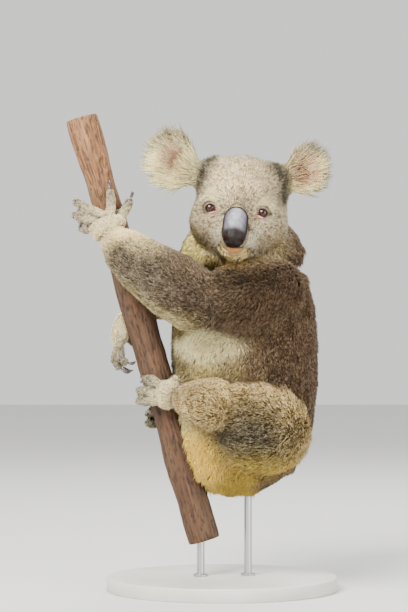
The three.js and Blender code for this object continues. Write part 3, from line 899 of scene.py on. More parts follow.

# The markings, and some painted light and shade, as soft spots of colour on the hide, which the coat over
# them repeats.
GREY_BROWN = linear(132, 108, 78)
BACK_BROWN = linear(88, 67, 46)
ARM_GREY = linear(96, 83, 62)
PALE_GREY = linear(234, 222, 192)
FACE_GREY = linear(214, 197, 158)
BROW_CREAM = linear(252, 232, 184)
CHEEK_DUN = linear(172, 148, 98)
CHEEK_EDGE = linear(224, 208, 124)
CHEST_CREAM = linear(218, 200, 134)
LEG_DUN = linear(174, 148, 92)
THIGH_SLATE = linear(86, 76, 56)
RUMP_GOLD = linear(250, 212, 96)
RUMP_CREAM_IN_SHADE = linear(200, 168, 60)
PAW_GREY = linear(246, 230, 180)
WRIST_CREAM = linear(244, 220, 156)
EAR_WHITE = linear(242, 230, 172)
EAR_PINK = linear(190, 138, 116)
EAR_BACK = linear(136, 124, 92)
EAR_ROOT = linear(30, 20, 11)
CHIN_OLIVE_IN_SHADOW = linear(98, 76, 36)
THROAT_BROWN_IN_SHADOW = linear(46, 32, 14)
ARM_BROWN = linear(78, 62, 44)
JAW_CREAM = linear(232, 208, 138)
LIP_PINK = linear(182, 122, 66)
MOUTH_GROOVE_SHADE = linear(60, 30, 20)
LID_PINK = linear(186, 84, 62)
LID_DARK = linear(52, 30, 22)
LID_WET_GLINT = linear(244, 228, 218)
LIP_EDGE = linear(120, 78, 40)
CREAM_WITH_PAINTED_LIGHT = linear(254, 242, 188)
# The colour of the painted shade in creases.
CREASE_SHADE = linear(44, 31, 19)
RUMP_PALE = linear(206, 192, 154)
PAW_SHADE = linear(122, 114, 100)
BELLY_DUN = linear(122, 106, 62)

colour = np.tile(np.array(GREY_BROWN[:3]), (len(points), 1))
fleck = np.full(len(points), 0.62)


def paint(share, tint, flecks=None):
    """Lays a colour over the hide, and says how strongly the tufts there differ from each other."""
    global colour, fleck
    share = np.clip(share, 0, 1)[:, None]
    colour = colour * (1 - share) + np.array(tint[:3]) * share
    if flecks is not None:
        fleck = fleck * (1 - share[:, 0]) + flecks * share[:, 0]


ragged = fractal(points, 0.030, 3, 1.0)[:, None] * 0.006
uneven = points + ragged * np.array([[1.0, 0.6, -0.8]])


def spot(place, reach, edge=0.5):
    """1 within that reach of a place on the body, running out to 0 beyond it, with an uneven edge."""
    away = np.linalg.norm((uneven - np.array(place)) / np.array(reach), axis=1)
    return 1 - smoothstep(1 - edge, 1 + edge, away)


torso = middle("torso")
body = of_parts("torso", "neck")
paint(body * smoothstep(-0.02, 0.08, uneven[:, 0] - torso.x), BACK_BROWN, 0.6)
paint(body * (1 - smoothstep(0.290, 0.350, uneven[:, 2])) * 0.7, GREY_BROWN, 0.85)
belly = smoothstep(0.35, 0.9, normals @ np.array(Vector((-0.85, -0.45, 0.0)).normalized()))
paint(body * belly, CHEST_CREAM, 0.45)
paint(body * belly * spot((-0.060, -0.03, 0.300), (0.024, 0.09, 0.070), 0.4) * 1.2, BELLY_DUN, 0.6)
paint(of_parts("upper_arm"), BACK_BROWN, 0.6)
paint(of_parts("forearm"), ARM_GREY, 0.8)
armpit = spot((-0.016, -0.06, 0.322), (0.040, 0.09, 0.019), 0.4)
near_elbow = smoothstep(-0.10, -0.03, uneven[:, 0])
paint(of_parts("forearm") * near_elbow, ARM_BROWN, 0.7)
under = smoothstep(0.35, 0.9, -normals[:, 2]) * (1 - smoothstep(-0.06, 0.0, uneven[:, 0]))
paint(of_parts("upper_arm", "forearm") * under * 0.6, CHEST_CREAM, 0.5)
# Cream fur under the arm, painted brighter than it is: painted light that lifts the shade beneath the arm.
paint(of_parts("torso", "forearm", "upper_arm") * armpit * 1.2, CREAM_WITH_PAINTED_LIGHT, 0.3)
upper = smoothstep(0.2, 0.8, normals[:, 2])
wrist = middle("left_hand")
paint(of_parts("left_forearm") * spot(wrist, (0.075, 0.1, 0.075), 0.6) * upper, WRIST_CREAM, 0.45)
paint(of_parts("left_forearm") * spot(wrist, (0.05, 0.06, 0.05), 0.5), WRIST_CREAM, 0.4)
paint(of_parts("right_forearm") * spot(middle("right_hand"), (0.06, 0.06, 0.06), 0.5), PALE_GREY, 0.5)
paint(of_parts("thigh", "shank"), LEG_DUN, 1.0)
for node in ("left_thigh", "right_thigh"):
    dark = spot(middle(node) + Vector((-0.018, 0, -0.012)), (0.054, 0.08, 0.052), 0.4)
    paint(of_parts("thigh") * dark, THIGH_SLATE, 1.0)
flank = smoothstep(0.02, 0.06, uneven[:, 0]) * (1 - smoothstep(0.140, 0.200, uneven[:, 2]))
paint(of_parts("torso") * flank * smoothstep(0.5, -0.1, normals[:, 1]) * 0.85, LEG_DUN, 0.9)
# Painted shade: the creases where the torso meets the thighs are darkened.
fold_shade = 4 * of_parts("torso") * of_parts("thigh") * smoothstep(-0.2, 0.4, normals[:, 2])
paint(fold_shade * 0.9, CREASE_SHADE, 0.4)
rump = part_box("torso")[0].z
low = 1 - smoothstep(rump + 0.020, rump + 0.085, uneven[:, 2])
# The bottom of the rump: cream fur painted darker and olive, as painted shade under the body.
paint(of_parts("torso", "thigh") * low * 0.9, RUMP_CREAM_IN_SHADE, 0.3)
paint(of_parts("torso", "thigh") * low * smoothstep(0.0, 0.6, normals[:, 1]), RUMP_PALE, 0.6)
gold = spot((-0.035, -0.05, rump + 0.052), (0.040, 0.09, 0.040), 0.5)
paint(of_parts("torso") * gold, RUMP_GOLD, 0.3)
paint(paws, PAW_GREY, 0.5)
PAWS = ("left_hand", "right_hand", "left_foot", "right_foot")
for limb in PAWS:
    claws = [np.array(middle(n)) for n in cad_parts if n.startswith("claw_" + limb)]
    to_claw = np.min([np.linalg.norm(uneven - place, axis=1) for place in claws], axis=0)
    paint(part[limb] * (1 - smoothstep(0.018, 0.044, to_claw)) * 0.75, PAW_SHADE, 1.0)
# Painted shade: where the paws' hide is hollow, between the digits, it is darkened.
between_digits = ((averaged(points) - points) * normals).sum(1)
for _ in range(2):
    between_digits = averaged(between_digits)
paint(paws * smoothstep(0.00004, 0.00022, between_digits) * 0.85, CREASE_SHADE, 0.6)


def mark(across, forwards, up, wide, deep, high, share, tint, flecks=None):
    """A soft spot of colour on the head, at a place in its frame and out to those reaches."""
    reach = np.array([wide, deep, high])
    paint(on_head * near([across, forwards, up], reach, in_head(uneven)) * share, tint, flecks)


paint(on_head, FACE_GREY, 0.95)
paint(on_head * smoothstep(-0.035, -0.075, face[:, 1]), GREY_BROWN, 0.55)
mark(0, -0.005, 0.036, 0.052, 0.06, 0.042, 1.5, BROW_CREAM, 0.9)
mark(0, 0.0, 0.012, 0.015, 0.03, 0.020, 0.6, CHEEK_DUN, 0.9)
for side in (-1, 1):
    mark(side * 0.054, -0.02, -0.040, 0.036, 0.06, 0.034, 1.3, CHEEK_DUN, 0.8)
    mark(side * 0.024, 0.02, -0.034, 0.017, 0.03, 0.020, 1.0, PALE_GREY, 0.8)
    # Pale fur over each eye, made brighter by a painted highlight where the brow ridge faces the light.
    mark(side * 0.030, 0.0, 0.014, 0.020, 0.03, 0.013, 1.3, CREAM_WITH_PAINTED_LIGHT, 0.4)
    mark(side * 0.060, -0.03, -0.052, 0.022, 0.05, 0.030, 0.8, CHEEK_EDGE, 0.3)
nape = spot(from_head(-0.052, -0.03, -0.062), (0.034, 0.08, 0.040), 0.4)
paint(of_parts("neck", "torso") * nape, CHEEK_EDGE, 0.3)
for across, up, wide, high in (
    (-0.048, 0.060, 0.025, 0.036),
    (-0.053, 0.036, 0.018, 0.028),
    (0.044, 0.062, 0.023, 0.028),
    (0.053, 0.036, 0.018, 0.036),
):
    mark(across, -0.018, up, wide, 0.05, high, 2.4, EAR_ROOT, 0.85)
shoulder = smoothstep(0.045, 0.065, in_head(uneven)[:, 0])
paint(of_parts("neck", "torso") * shoulder, BACK_BROWN, 0.8)
# Olive-brown fur on the chin and throat, darkened with painted shadow under the jaw.
chin = spot(from_head(0.0, 0.0, -0.066), (0.038, 0.09, 0.014), 0.5)
below_head = of_parts("head", "neck", "torso", "upper_arm")
paint(below_head * chin * (1 - on_jaw) * (1 - on_lip), CHIN_OLIVE_IN_SHADOW, 0.6)
throat = spot(from_head(0.006, 0.0, -0.088), (0.058, 0.09, 0.014), 0.5)
paint(below_head * throat * 0.9, THROAT_BROWN_IN_SHADOW, 0.7)
# Painted shade in the fold of skin below the jaw.
paint(1.3 * under_jaw * (1 - on_jaw), THROAT_BROWN_IN_SHADOW, 0.3)
paint(on_jaw * 1.2, JAW_CREAM, 0.15)
paint(on_lip, LIP_PINK, 0.1)
paint(on_lip * smoothstep(-0.0040, 0.0, below_lip) * 0.5, LIP_EDGE, 0.1)
# Painted shade in the mouth's groove, under the overhang of the nose.
paint(into_mouth, MOUTH_GROOVE_SHADE, 0.1)
# Bare pink skin at each eye's inner corner and below it: how far in from the eye's middle, how far
# below it, how wide and how high.
BARE_CORNERS = ((0.0082, 0.0040, 0.0075, 0.0060), (0.0020, 0.0080, 0.0080, 0.0034))
corners_pink = np.zeros(len(points))
for eye in EYES.values():
    for inwards, below, wide, high in BARE_CORNERS:
        place = np.array([eye[0] - np.sign(eye[0]) * inwards, 0, eye[2] - below])
        corner = on_head * near(place, np.array([wide, 0.02, high]))
        corners_pink = np.maximum(corners_pink, corner)
corners_pink = np.clip(2.2 * corners_pink, 0, 1)
paint(corners_pink * 0.9, LID_PINK, 0.1)
lid_low = smoothstep(0.1, 0.7, -np.sin(lid_bearing)) * smoothstep(-0.5, 0.2, np.cos(lid_bearing))
paint(1 - smoothstep(0.0007, 0.0018, lid_edge), LID_DARK, 0.1)
# A painted highlight: the wet edge of each lower lid is painted near white where it shines.
paint((1 - smoothstep(0.0007, 0.0015, lid_edge)) * lid_low, LID_WET_GLINT, 0.1)

# Where no hair grows: the lids, the lip, the nose's bed and the middle of the ears.
bare = np.maximum(1 - smoothstep(0.0002, 0.0012, lid_edge), 0.85 * corners_pink)
pad = surface_of(["nose"])
for i in np.flatnonzero(near(NOSE_MIDDLE, 0.06) > 0):
    at, normal, _, _ = pad.find_nearest(Vector(points[i]))
    bare[i] = max(bare[i], float((Vector(points[i]) - at).dot(normal) < 0.0006))
bare = np.maximum(bare, np.clip(on_lip * 1.3 + into_mouth + 0.92 * on_jaw + 0.5 * under_jaw, 0, 1))
for node, ear in ears.items():
    facing = smoothstep(-0.15, 0.35, normals @ ear["front"])
    paint(part[node] * 1.2, EAR_BACK, 0.5)
    paint(part[node] * facing * 1.1, EAR_WHITE, 0.25)
    hollow = ear["root"] + (ear["middle"] - ear["root"]) * (EAR_HIDE * 1.02)
    crest = smoothstep(0.25, 0.8, (points - hollow)[:, 2] / (ear["radius"] * EAR_HIDE))
    paint(part[node] * facing * crest, EAR_BACK, 0.9)
    pink = part[node] * facing * spot(hollow, (0.013, 0.02, 0.014), 0.6)
    paint(pink, EAR_PINK, 0.2)
    bare = np.maximum(bare, 0.85 * pink)

skin_mesh = bpy.data.meshes.new("skin")
skin_mesh.from_pydata([tuple(p) for p in points], [], triangles.tolist())
skin_mesh.polygons.foreach_set("use_smooth", [True] * len(triangles))
skin = new_piece("skin", skin_mesh)
skin_mesh.uv_layers.new(name="OFBake")
bpy.context.view_layer.objects.active = skin
skin.select_set(True)
bpy.ops.object.mode_set(mode="EDIT")
bpy.ops.mesh.select_all(action="SELECT")
bpy.ops.uv.smart_project(angle_limit=math.radians(66), island_margin=0.004)
bpy.ops.object.mode_set(mode="OBJECT")
skin.select_set(False)
store(skin_mesh, "out", "FLOAT_VECTOR", outward(points))
store(skin_mesh, "lie", "FLOAT_VECTOR", lie)
store(skin_mesh, "coat_depth", "FLOAT", depth)
store(skin_mesh, "coat_length", "FLOAT", length)
store(skin_mesh, "coat_colour", "FLOAT_COLOR", np.column_stack([colour, np.ones(len(points))]))
store(skin_mesh, "fleck", "FLOAT", fleck)
store(skin_mesh, "bare", "FLOAT", bare)

hide_leather, tree, shader = new_material("hide", Roughness=0.75)
grain = grain_over(tree, object_place(tree), 900.0, 4.0)
under_fur = mix(tree, 0.5, read(tree, "coat_colour", "Color"), linear(70, 54, 38))
shown = mix(tree, read(tree, "bare"), under_fur, read(tree, "coat_colour", "Color"))
speckled = ramp(tree, grain, [(0.3, [0.6, 0.6, 0.6, 1]), (0.7, [1, 1, 1, 1])])
feed(tree, shader, Base_Color=mix(tree, 0.8, shown, speckled, "MULTIPLY"))
bump(tree, shader, grain, 0.0006, 0.7)
skin_mesh.materials.append(hide_leather)
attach(skin, "root")
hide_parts(*FLESH_NAMES)

# ---- The eyes ----------------------------------------------------------------------------------
# Two glass balls set in the sockets: a dark brown iris with fine fibres, a black slit of a pupil
# that stands upright, and a wet surface. They look straight ahead.

EYE_RINGS = 40
IRIS = 0.66  # the iris's radius, and the pupil's half width and half height, as shares of the ball's
PUPIL_WIDE, PUPIL_HIGH = 0.10, 0.44
GAZE_OUT = 0.10  # how far each eye looks to its own side

eye_glass, tree, shader = new_material("eye_glass", Roughness=0.12, Specular_IOR_Level=0.3, IOR=1.4)
feed(tree, shader, Coat_Weight=0.35, Coat_Roughness=0.02)
split = new_node(tree, "ShaderNodeSeparateXYZ", Vector=read(tree, "eye_place", "Vector"))
across, up = split.outputs["X"], split.outputs["Z"]
from_middle = math_node(tree, "SQRT", squares(tree, across, up))
slit = squares(
    tree, math_node(tree, "DIVIDE", across, PUPIL_WIDE), math_node(tree, "DIVIDE", up, PUPIL_HIGH)
)
bearing = times(tree, math_node(tree, "ARCTAN2", up, across), 7.0)
rays = new_node(tree, "ShaderNodeCombineXYZ", X=bearing, Y=times(tree, from_middle, 2.0))
fibres = grain_over(tree, rays.outputs["Vector"], 3.0, 4.0)
iris = ramp(tree, fibres, [(0.3, linear(20, 8, 5)), (0.7, linear(70, 31, 17))])
dark_rim = ramp(
    tree,
    from_middle,
    [
        (0.10, [1, 1, 1, 1]),
        (IRIS * 0.80, [0.75, 0.75, 0.75, 1]),
        (IRIS * 0.97, [0.16, 0.15, 0.15, 1]),
        (IRIS * 1.05, [0.5, 0.5, 0.5, 1]),
    ],
)
white = fade(tree, from_middle, IRIS * 0.99, IRIS * 1.04)
whole = mix(tree, white, shaded(tree, iris, dark_rim), linear(84, 60, 48))
black = fade(tree, slit, 1.0, 0.85)
feed(tree, shader, Base_Color=mix(tree, black, whole, linear(8, 6, 5)))

turns = [math.pi * i / EYE_RINGS for i in range(EYE_RINGS + 1)]
profile = [(math.sin(turn) * eye_radius, -math.cos(turn) * eye_radius) for turn in turns]
for side, own_side in (("left", 1), ("right", -1)):
    centre = middle("eye_" + side)
    gaze = (head_forward + head_across * (own_side * GAZE_OUT)).normalized()
    ball = mesh_piece("eyeball_" + side, *turned(profile, 2 * EYE_RINGS, centre, gaze), eye_glass)
    from_centre = (np.array([v.co for v in ball.data.vertices]) - np.array(centre)) / eye_radius
    gaze_up = (head_up - gaze * gaze.dot(head_up)).normalized()
    seen = np.array([gaze.cross(gaze_up), gaze, gaze_up])
    store(ball.data, "eye_place", "FLOAT_VECTOR", from_centre @ seen.T)
    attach(ball, "root")
    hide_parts("eye_" + side)

# ---- The nose ----------------------------------------------------------------------------------
# A long pad of bare leather, nearly black, faintly pebbled and a little moist, with two comma-shaped
# nostrils low on it. A painted reflection makes its upper part slate grey, and painted shade darkens
# its rim, its sides and the nostrils' holes.

NOSE_CELL = 0.0008
NOSTRIL_ACROSS, NOSTRIL_UP = 0.0103, 0.0090  # from the middle, and above the pad's lower edge
NOSTRIL_HALF, NOSTRIL_DEEP = 0.0030, 0.0052  # a nostril's round hole
TAIL_OUT, TAIL_UP, TAIL_HALF, TAIL_DEEP = 0.0036, 0.0030, 0.0024, 0.0024  # its tail, up and outwards
GROOVE_WIDE, GROOVE_IN = 0.0011, 0.0016  # the groove between the nostrils
PAD_DARK, PAD_ARCH = 0.0285, 0.0095  # how far up the dark part reaches, and how much less at its sides

nose = new_piece("nose_leather_pad", mesh_from(shell_of(["nose"]), "nose_leather_pad"))
remeshed(nose, NOSE_CELL)
ease = nose.modifiers.new("ease", "SMOOTH")
ease.factor = 0.5
ease.iterations = 14
mesh = made_plain(nose)
local = in_head(np.array([v.co for v in mesh.vertices]))
pad_low = local[:, 2].min()
pad_half = np.abs(local[:, 0]).max()
ahead = smoothstep(0.0, 0.014, local[:, 1] - NOSE_MIDDLE[1] + 0.006)
for side in (-1, 1):
    across = local[:, 0] * side - NOSTRIL_ACROSS
    up = local[:, 2] - pad_low - NOSTRIL_UP
    hole = np.exp(-((np.hypot(across, up) / NOSTRIL_HALF) ** 2))
    tail = np.exp(-((np.hypot(across - TAIL_OUT, (up - TAIL_UP) * 1.4) / TAIL_HALF) ** 2))
    local[:, 1] -= (NOSTRIL_DEEP * hole + TAIL_DEEP * tail) * ahead
groove = np.exp(-((local[:, 0] / GROOVE_WIDE) ** 2))
groove *= 1 - smoothstep(0.004, 0.012, local[:, 2] - pad_low)
local[:, 1] -= GROOVE_IN * groove * ahead
dark_up_to = PAD_DARK - PAD_ARCH * (local[:, 0] / pad_half) ** 2
dark = 1 - smoothstep(-0.0060, 0.0045, local[:, 2] - pad_low - dark_up_to)
mesh.vertices.foreach_set("co", (np.array(brow) + local @ HEAD_BASIS).astype(np.float32).ravel())
mesh.polygons.foreach_set("use_smooth", [True] * len(mesh.polygons))
store(mesh, "dark", "FLOAT", dark)
# The nostrils' reddish skin, and the painted shade deep in their holes.
for name, outwards, upwards, inner, outer in (
    ("nostril", 0.001, 0.0008, 0.0022, 0.0042),
    ("pit", 0.0, 0.0, 0.0012, 0.0026),
):
    away = [
        np.hypot(
            local[:, 0] * side - NOSTRIL_ACROSS - outwards, local[:, 2] - pad_low - NOSTRIL_UP - upwards
        )
        for side in (-1, 1)
    ]
    store(mesh, name, "FLOAT", (1 - smoothstep(inner, outer, np.minimum(*away))) * ahead)
# Painted shade round the pad: its rim at the top, and its sides where they turn away from the front.
shell = bmesh.new()
shell.from_mesh(mesh)
facing = np.array([v.normal for v in shell.verts]) @ np.array(head_forward)
shell.free()
arch_high = 1.1 * pad_half
above_arch = np.clip(local[:, 2] - (local[:, 2].max() - arch_high), 0, None)
arch = np.hypot(local[:, 0] / pad_half, above_arch / arch_high)
rim = np.maximum(1 - smoothstep(0.30, 0.74, facing), smoothstep(0.82, 0.93, arch))
store(mesh, "rim", "FLOAT", rim)
store(mesh, "aside", "FLOAT", np.clip(np.abs(local[:, 0]) / pad_half, 0, 1))

nose_leather, tree, shader = new_material("nose_leather", Roughness=0.5, Specular_IOR_Level=0.2)
feed(tree, shader, Coat_Weight=0.04, Coat_Roughness=0.3)
place = object_place(tree)
pebble = new_node(tree, "ShaderNodeTexVoronoi", Vector=place, Scale=1100.0).outputs["Distance"]
blotch = grain_over(tree, place, 160.0, 4.0)
# Painted reflection: the upper pad is coloured light slate grey as the sky's sheen on the dark leather, and
# painted shade darkens it towards its sides.
reflected_slate = ramp(tree, blotch, [(0.35, linear(118, 118, 126)), (0.65, linear(150, 149, 158))])
sides = ramp(tree, read(tree, "aside"), [(0.2, [1, 1, 1, 1]), (0.85, [0.24, 0.22, 0.25, 1])])
deep_brown = ramp(tree, blotch, [(0.35, linear(12, 7, 5)), (0.65, linear(28, 17, 13))])
shown = mix(tree, read(tree, "dark"), shaded(tree, reflected_slate, sides), deep_brown)
# Painted shadow on the rim; then the nostrils' own reddish skin, and painted shade in their holes.
shown = mix(tree, read(tree, "rim"), shown, linear(10, 6, 5))
shown = mix(tree, read(tree, "nostril"), shown, linear(46, 17, 13))
shown = mix(tree, read(tree, "pit"), shown, linear(6, 3, 3))
feed(tree, shader, Base_Color=shown)
bump(tree, shader, pebble, 0.0004, 0.5)
mesh.materials.clear()
mesh.materials.append(nose_leather)
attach(nose, "root")
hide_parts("nose")

# ---- The claws ---------------------------------------------------------------------------------
# Long curved claws of black horn, one to a digit, paler and duller where they leave the skin,
# with a fine grain along them.

claw_horn, tree, shader = new_material("claw_horn", Roughness=0.34, Coat_Weight=0.3, Coat_Roughness=0.2)
grain = grain_over(tree, object_place(tree), 600.0, 5.0)
tip = ramp(tree, grain, [(0.35, linear(26, 22, 20)), (0.7, linear(58, 50, 44))])
root = ramp(tree, grain, [(0.35, linear(70, 60, 52)), (0.7, linear(108, 96, 84))])
feed(tree, shader, Base_Color=mix(tree, read(tree, "along"), root, tip))
bump(tree, shader, grain, 0.0003, 0.5)

for limb in PAWS:
    names = sorted(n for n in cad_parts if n.startswith("claw_" + limb))
    along = []
    for name in names:
        claw = shell_of([name])
        away = np.linalg.norm(np.array([v.co for v in claw.verts]) - np.array(middle(limb)), axis=1)
        along += list((away - away.min()) / (away.max() - away.min()))
        claw.free()
    claws = new_piece("claws_" + limb, mesh_from(shell_of(names), "claws_" + limb))
    store(claws.data, "along", "FLOAT", along)
    claws.modifiers.new("rounder", "SUBSURF").levels = 1
    mesh = made_plain(claws)
    mesh.polygons.foreach_set("use_smooth", [True] * len(mesh.polygons))
    mesh.materials.clear()
    mesh.materials.append(claw_horn)
    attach(claws, "root")
    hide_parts(*names)

# ---- The coat ----------------------------------------------------------------------------------
# Dense woolly fur in small tapering tufts, each one rooted in the hide and leaning the way the hair
# lies there, so that they overlap like thatch. Their roots are darker than their tips.


def tuft_mesh(name, rings):
    """A closed lock, 1 wide, 1 long and 1 high, from a point at its root to a point at its tip."""
    vertices, along = [(0, 0, 0)], [0.0]
    for y, z, wide, deep in rings:
        vertices += [(-wide / 2, y, z), (wide / 2, y, z), (0, y - deep * 0.4, z + deep)]
        along += [y] * 3
    vertices.append((0, 1, 1))
    along.append(1.0)
    faces = [(0, 1 + i, 1 + (i + 1) % 3) for i in range(3)]
    for low in range(1, len(vertices) - 4, 3):
        for i in range(3):
            j = (i + 1) % 3
            faces += [(low + i, low + 3 + i, low + j), (low + j, low + 3 + i, low + 3 + j)]
    last = len(vertices) - 1
    faces += [(last - 3 + i, last, last - 3 + (i + 1) % 3) for i in range(3)]
    lock = mesh_piece(name, vertices, faces)
    store(lock.data, "along", "FLOAT", along)
    store(lock.data, "patch", "FLOAT_VECTOR", [(x * 0.5, y - 0.5, 0) for x, y, _ in vertices])
    bpy.context.collection.objects.unlink(lock)
    return lock


short_lock = tuft_mesh("short_lock", [(0.42, 0.60, 1.0, 0.12)])
long_lock = tuft_mesh("long_lock", [(0.28, 0.42, 1.0, 0.08), (0.64, 0.80, 0.8, 0.07)])


PATCH_SIZE = 0.003  # how much of the hide's unwrapped picture each tuft spans


def coat_tree():
    """The tree that grows one piece of the coat on the hide it is given."""
    tree = bpy.data.node_groups.new("coat", "GeometryNodeTree")
    face_of = tree.interface
    face_of.new_socket("Geometry", in_out="OUTPUT", socket_type="NodeSocketGeometry")
    face_of.new_socket("Hide", in_out="INPUT", socket_type="NodeSocketGeometry")
    face_of.new_socket("Lock", in_out="INPUT", socket_type="NodeSocketObject")
    for name in ("Spacing", "Width", "Ruffle"):
        face_of.new_socket(name, in_out="INPUT", socket_type="NodeSocketFloat")
    face_of.new_socket("Seed", in_out="INPUT", socket_type="NodeSocketInt")
    face_of.new_socket("Material", in_out="INPUT", socket_type="NodeSocketMaterial")
    given = new_node(tree, "NodeGroupInput").outputs

    def stored(name, kind="FLOAT"):
        node = new_node(tree, "GeometryNodeInputNamedAttribute", data_type=kind, Name=name)
        return node.outputs["Attribute"]

    def vector(operation, first, second):
        node = new_node(tree, "ShaderNodeVectorMath", operation=operation)
        plug(tree, node.inputs[0], first)
        plug(tree, node.inputs["Scale" if operation == "SCALE" else 1], second)
        return node.outputs["Vector"]

    def chance(low, high, seed, kind="FLOAT"):
        seed = math_node(tree, "ADD", given["Seed"], seed)
        node = new_node(tree, "FunctionNodeRandomValue", data_type=kind, Seed=seed)
        pair = [s for s in node.inputs if s.name in ("Min", "Max") and s.enabled]
        pair[0].default_value, pair[1].default_value = low, high
        return [s for s in node.outputs if s.enabled][0]

    def wisps_of(scale, strength):
        place = new_node(tree, "GeometryNodeInputPosition").outputs["Position"]
        cloud = new_node(tree, "ShaderNodeTexNoise", Vector=place, Scale=scale, Detail=2.0)
        way = vector("SUBTRACT", cloud.outputs["Color"], (0.5, 0.5, 0.5))
        return vector("SCALE", way, times(tree, given["Ruffle"], strength))

    def stored_on(geometry, domain, name, value, kind="FLOAT"):
        node = new_node(tree, "GeometryNodeStoreNamedAttribute", data_type=kind, domain=domain, Name=name)
        feed(tree, node, Geometry=geometry, Value=value)
        return node.outputs["Geometry"]

    # Roots: no two nearer than the spacing, fewer where the hide is bare.
    scatter = new_node(
        tree,
        "GeometryNodeDistributePointsOnFaces",
        distribute_method="POISSON",
        Mesh=given["Hide"],
        Seed=given["Seed"],
        Distance_Min=given["Spacing"],
        Density_Max=math_node(tree, "DIVIDE", 3.0, times(tree, given["Spacing"], given["Spacing"])),
        Density_Factor=math_node(tree, "SUBTRACT", 1.0, stored("bare")),
    )

    # Direction: the lie of the coat, parted into wisps by noise, and each tuft a little its own way.
    wisps = vector("ADD", wisps_of(60.0, 2.2), wisps_of(190.0, 1.6))
    own_way = vector("SCALE", chance((-0.5,) * 3, (0.5,) * 3, 1, "FLOAT_VECTOR"), given["Ruffle"])
    way = vector("ADD", stored("lie", "FLOAT_VECTOR"), vector("ADD", wisps, own_way))
    turn = new_node(tree, "FunctionNodeAxesToRotation", primary_axis="Z", secondary_axis="Y")
    feed(tree, turn, Primary_Axis=stored("out", "FLOAT_VECTOR"), Secondary_Axis=way)

    # Size: as deep and as long as the coat is there.
    high = times(tree, stored("coat_depth"), chance(0.75, 1.12, 2))
    long = times(tree, stored("coat_length"), chance(0.72, 1.2, 3))
    wide = times(tree, given["Width"], chance(0.7, 1.3, 4))

    grown = new_node(
        tree,
        "GeometryNodeInstanceOnPoints",
        Points=scatter.outputs["Points"],
        Instance=new_node(tree, "GeometryNodeObjectInfo", Object=given["Lock"]).outputs["Geometry"],
        Rotation=turn.outputs["Rotation"],
        Scale=new_node(tree, "ShaderNodeCombineXYZ", X=wide, Y=long, Z=high).outputs["Vector"],
    ).outputs["Instances"]
    grown = stored_on(grown, "INSTANCE", "shade", chance(0.0, 1.0, 5))
    grown = new_node(tree, "GeometryNodeRealizeInstances", Geometry=grown).outputs["Geometry"]
    patch = vector("SCALE", stored("patch", "FLOAT_VECTOR"), PATCH_SIZE)
    unwrapped = vector("ADD", stored("OFBake", "FLOAT_VECTOR"), patch)
    grown = stored_on(grown, "CORNER", "OFBake", unwrapped, "FLOAT2")
    dressed = new_node(tree, "GeometryNodeSetMaterial", Geometry=grown, Material=given["Material"])
    new_node(tree, "NodeGroupOutput", Geometry=dressed.outputs["Geometry"])
    return tree


fur, tree, shader = new_material("fur", Roughness=0.9, Specular_IOR_Level=0.15)
feed(tree, shader, Sheen_Weight=0.05, Sheen_Roughness=0.5)
tint = read(tree, "coat_colour", "Color")
pale = new_node(tree, "ShaderNodeGamma", Color=tint, Gamma=0.60).outputs["Color"]
sombre = shaded(tree, tint, linear(112, 102, 92))
place = object_place(tree)
tone = 0.5
for value, strength in (
    (read(tree, "shade"), 0.5),
    (grain_over(tree, place, 60.0, 2.0), 0.6),
    (grain_over(tree, place, 270.0, 2.0), 1.9),
    (grain_over(tree, place, 620.0, 1.0), 1.6),
):
    tone = math_node(tree, "MULTIPLY_ADD", math_node(tree, "SUBTRACT", value, 0.5), strength, tone)
share = read(tree, "fleck")
shown = mix(tree, times(tree, fade(tree, tone, 0.58, 0.86), share), tint, pale)
shown = mix(tree, times(tree, fade(tree, tone, 0.44, 0.14), share), shown, sombre)
root_to_tip = [(0.0, [0.5, 0.47, 0.44, 1]), (0.5, [0.92, 0.91, 0.90, 1]), (1.0, [1.1, 1.1, 1.1, 1])]
rooted = ramp(tree, read(tree, "along"), root_to_tip)
feed(tree, shader, Base_Color=shaded(tree, shown, rooted))

grow = coat_tree()
inputs = {item.name: item.identifier for item in grow.interface.items_tree if item.in_out == "INPUT"}
on_face = smoothstep(-0.040, -0.030, face[:, 1])
behind = points[:, 1] > middle("torso").y
COAT = {
    # piece: the parts it covers, the spacing and width of its tufts in metres, how ruffled it is,
    # and its slot
    "coat_chest": ("torso", 0.00105, 0.0009, 0.95, "fur_brown"),
    "coat_back": ("torso", 0.00108, 0.0009, 0.95, "fur_brown"),
    "coat_neck": ("neck", 0.0010, 0.0008, 0.7, "fur_pale"),
    "coat_upper_arms": ("upper_arm", 0.00105, 0.00085, 1.0, "fur_brown"),
    "coat_forearms": ("forearm", 0.00095, 0.0008, 1.0, "fur_grey"),
    "coat_thighs": ("thigh", 0.00105, 0.00085, 1.0, "fur_grey"),
    "coat_shanks": ("shank", 0.00095, 0.0008, 0.9, "fur_grey"),
    "coat_hands": ("hand", 0.00068, 0.0005, 0.3, "fur_pale"),
    "coat_feet": ("foot", 0.00068, 0.0005, 0.3, "fur_pale"),
    "coat_face": ("head", 0.00068, 0.0005, 0.6, "fur_grey"),
    "coat_crown": ("head", 0.00090, 0.0007, 0.55, "fur_grey"),
    "coat_ear_left": ("ear_left", 0.00070, 0.0006, 0.5, "fur_pale"),
    "coat_ear_right": ("ear_right", 0.00070, 0.0006, 0.5, "fur_pale"),
}
ONLY = {
    "coat_chest": ~behind,
    "coat_back": behind,
    "coat_face": on_face > 0.5,
    "coat_crown": on_face <= 0.5,
}
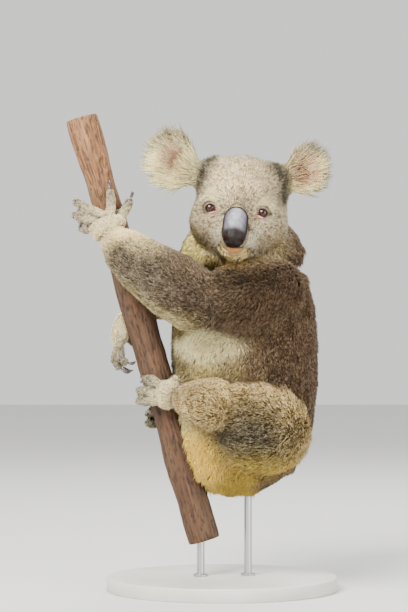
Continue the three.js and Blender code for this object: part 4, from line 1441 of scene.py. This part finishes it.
for seed, (name, (word, spacing, width, ruffle, slot)) in enumerate(COAT.items()):
    wanted = [i for i, node in enumerate(FLESH_NAMES) if word in node]
    chosen = np.isin(shares[triangles].sum(1).argmax(1), wanted)
    if name in ONLY:
        chosen &= ONLY[name][triangles].sum(1) >= 2
    shell = bmesh.new()
    shell.from_mesh(skin_mesh)
    shell.faces.ensure_lookup_table()
    bmesh.ops.delete(shell, geom=[shell.faces[i] for i in np.flatnonzero(~chosen)], context="FACES")
    coat = new_piece(name, mesh_from(shell, name))
    modifier = coat.modifiers.new("coat", "NODES")
    modifier.node_group = grow
    for key, value in (
        ("Lock", long_lock if word.startswith("ear") else short_lock),
        ("Spacing", spacing),
        ("Width", width),
        ("Ruffle", ruffle),
        ("Seed", seed),
        ("Material", fur),
    ):
        modifier[inputs[key]] = value
    made_plain(coat)
    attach(coat, "root")

# ---- The picture -------------------------------------------------------------------------------
# A pale floor and wall, a large soft key light high on the left in front, a fill on the right, and a
# long lens level with the animal's middle.

CAMERA_AWAY, CAMERA_ASIDE, CAMERA_UP = 3.2, -0.0234, 0.3692
camera_data = bpy.data.cameras.new("camera")
camera_data.lens = 144.7
camera_data.sensor_width = 36.0
camera = new_piece("camera", camera_data)
camera.location = (CAMERA_ASIDE, -CAMERA_AWAY, CAMERA_UP)
camera.rotation_euler = (math.radians(90), 0, 0)
bpy.context.scene.camera = camera


LIT = Vector((0, 0, 0.33))  # the place that all the lamps face


def soft_light(name, place, size, power, tint):
    """A square lamp, with its side in metres and its power in watts."""
    data = bpy.data.lights.new(name, "AREA")
    data.size = size
    data.energy = power
    data.color = tint
    lamp = new_piece(name, data)
    lamp.location = place
    lamp.rotation_euler = (LIT - Vector(place)).to_track_quat("-Z", "Y").to_euler()


soft_light("key", (-1.1, -1.9, 2.0), 1.3, 222, (1.0, 0.97, 0.93))
soft_light("fill", (1.9, -1.9, 0.7), 1.8, 62, (0.98, 0.98, 1.0))
soft_light("back", (0.6, 1.6, 1.9), 1.2, 44, (1.0, 1.0, 1.0))

world = bpy.data.worlds.new("room")
world.use_nodes = True
walls = world.node_tree.nodes["Background"]
feed(world.node_tree, walls, Color=linear(238, 238, 236), Strength=1.2)
bpy.context.scene.world = world

FLOOR_HALF = 6
signs = [(-1, -1), (1, -1), (1, 1), (-1, 1)]
floor_mesh = bpy.data.meshes.new("floor")
floor_mesh.from_pydata([(x * FLOOR_HALF, y * FLOOR_HALF, 0) for x, y in signs], [], [(0, 1, 2, 3)])
floor = new_piece("floor", floor_mesh)
floor_paint, tree, shader = new_material("floor_paint", Roughness=0.9, Base_Color=linear(214, 214, 212))
floor_mesh.materials.append(floor_paint)
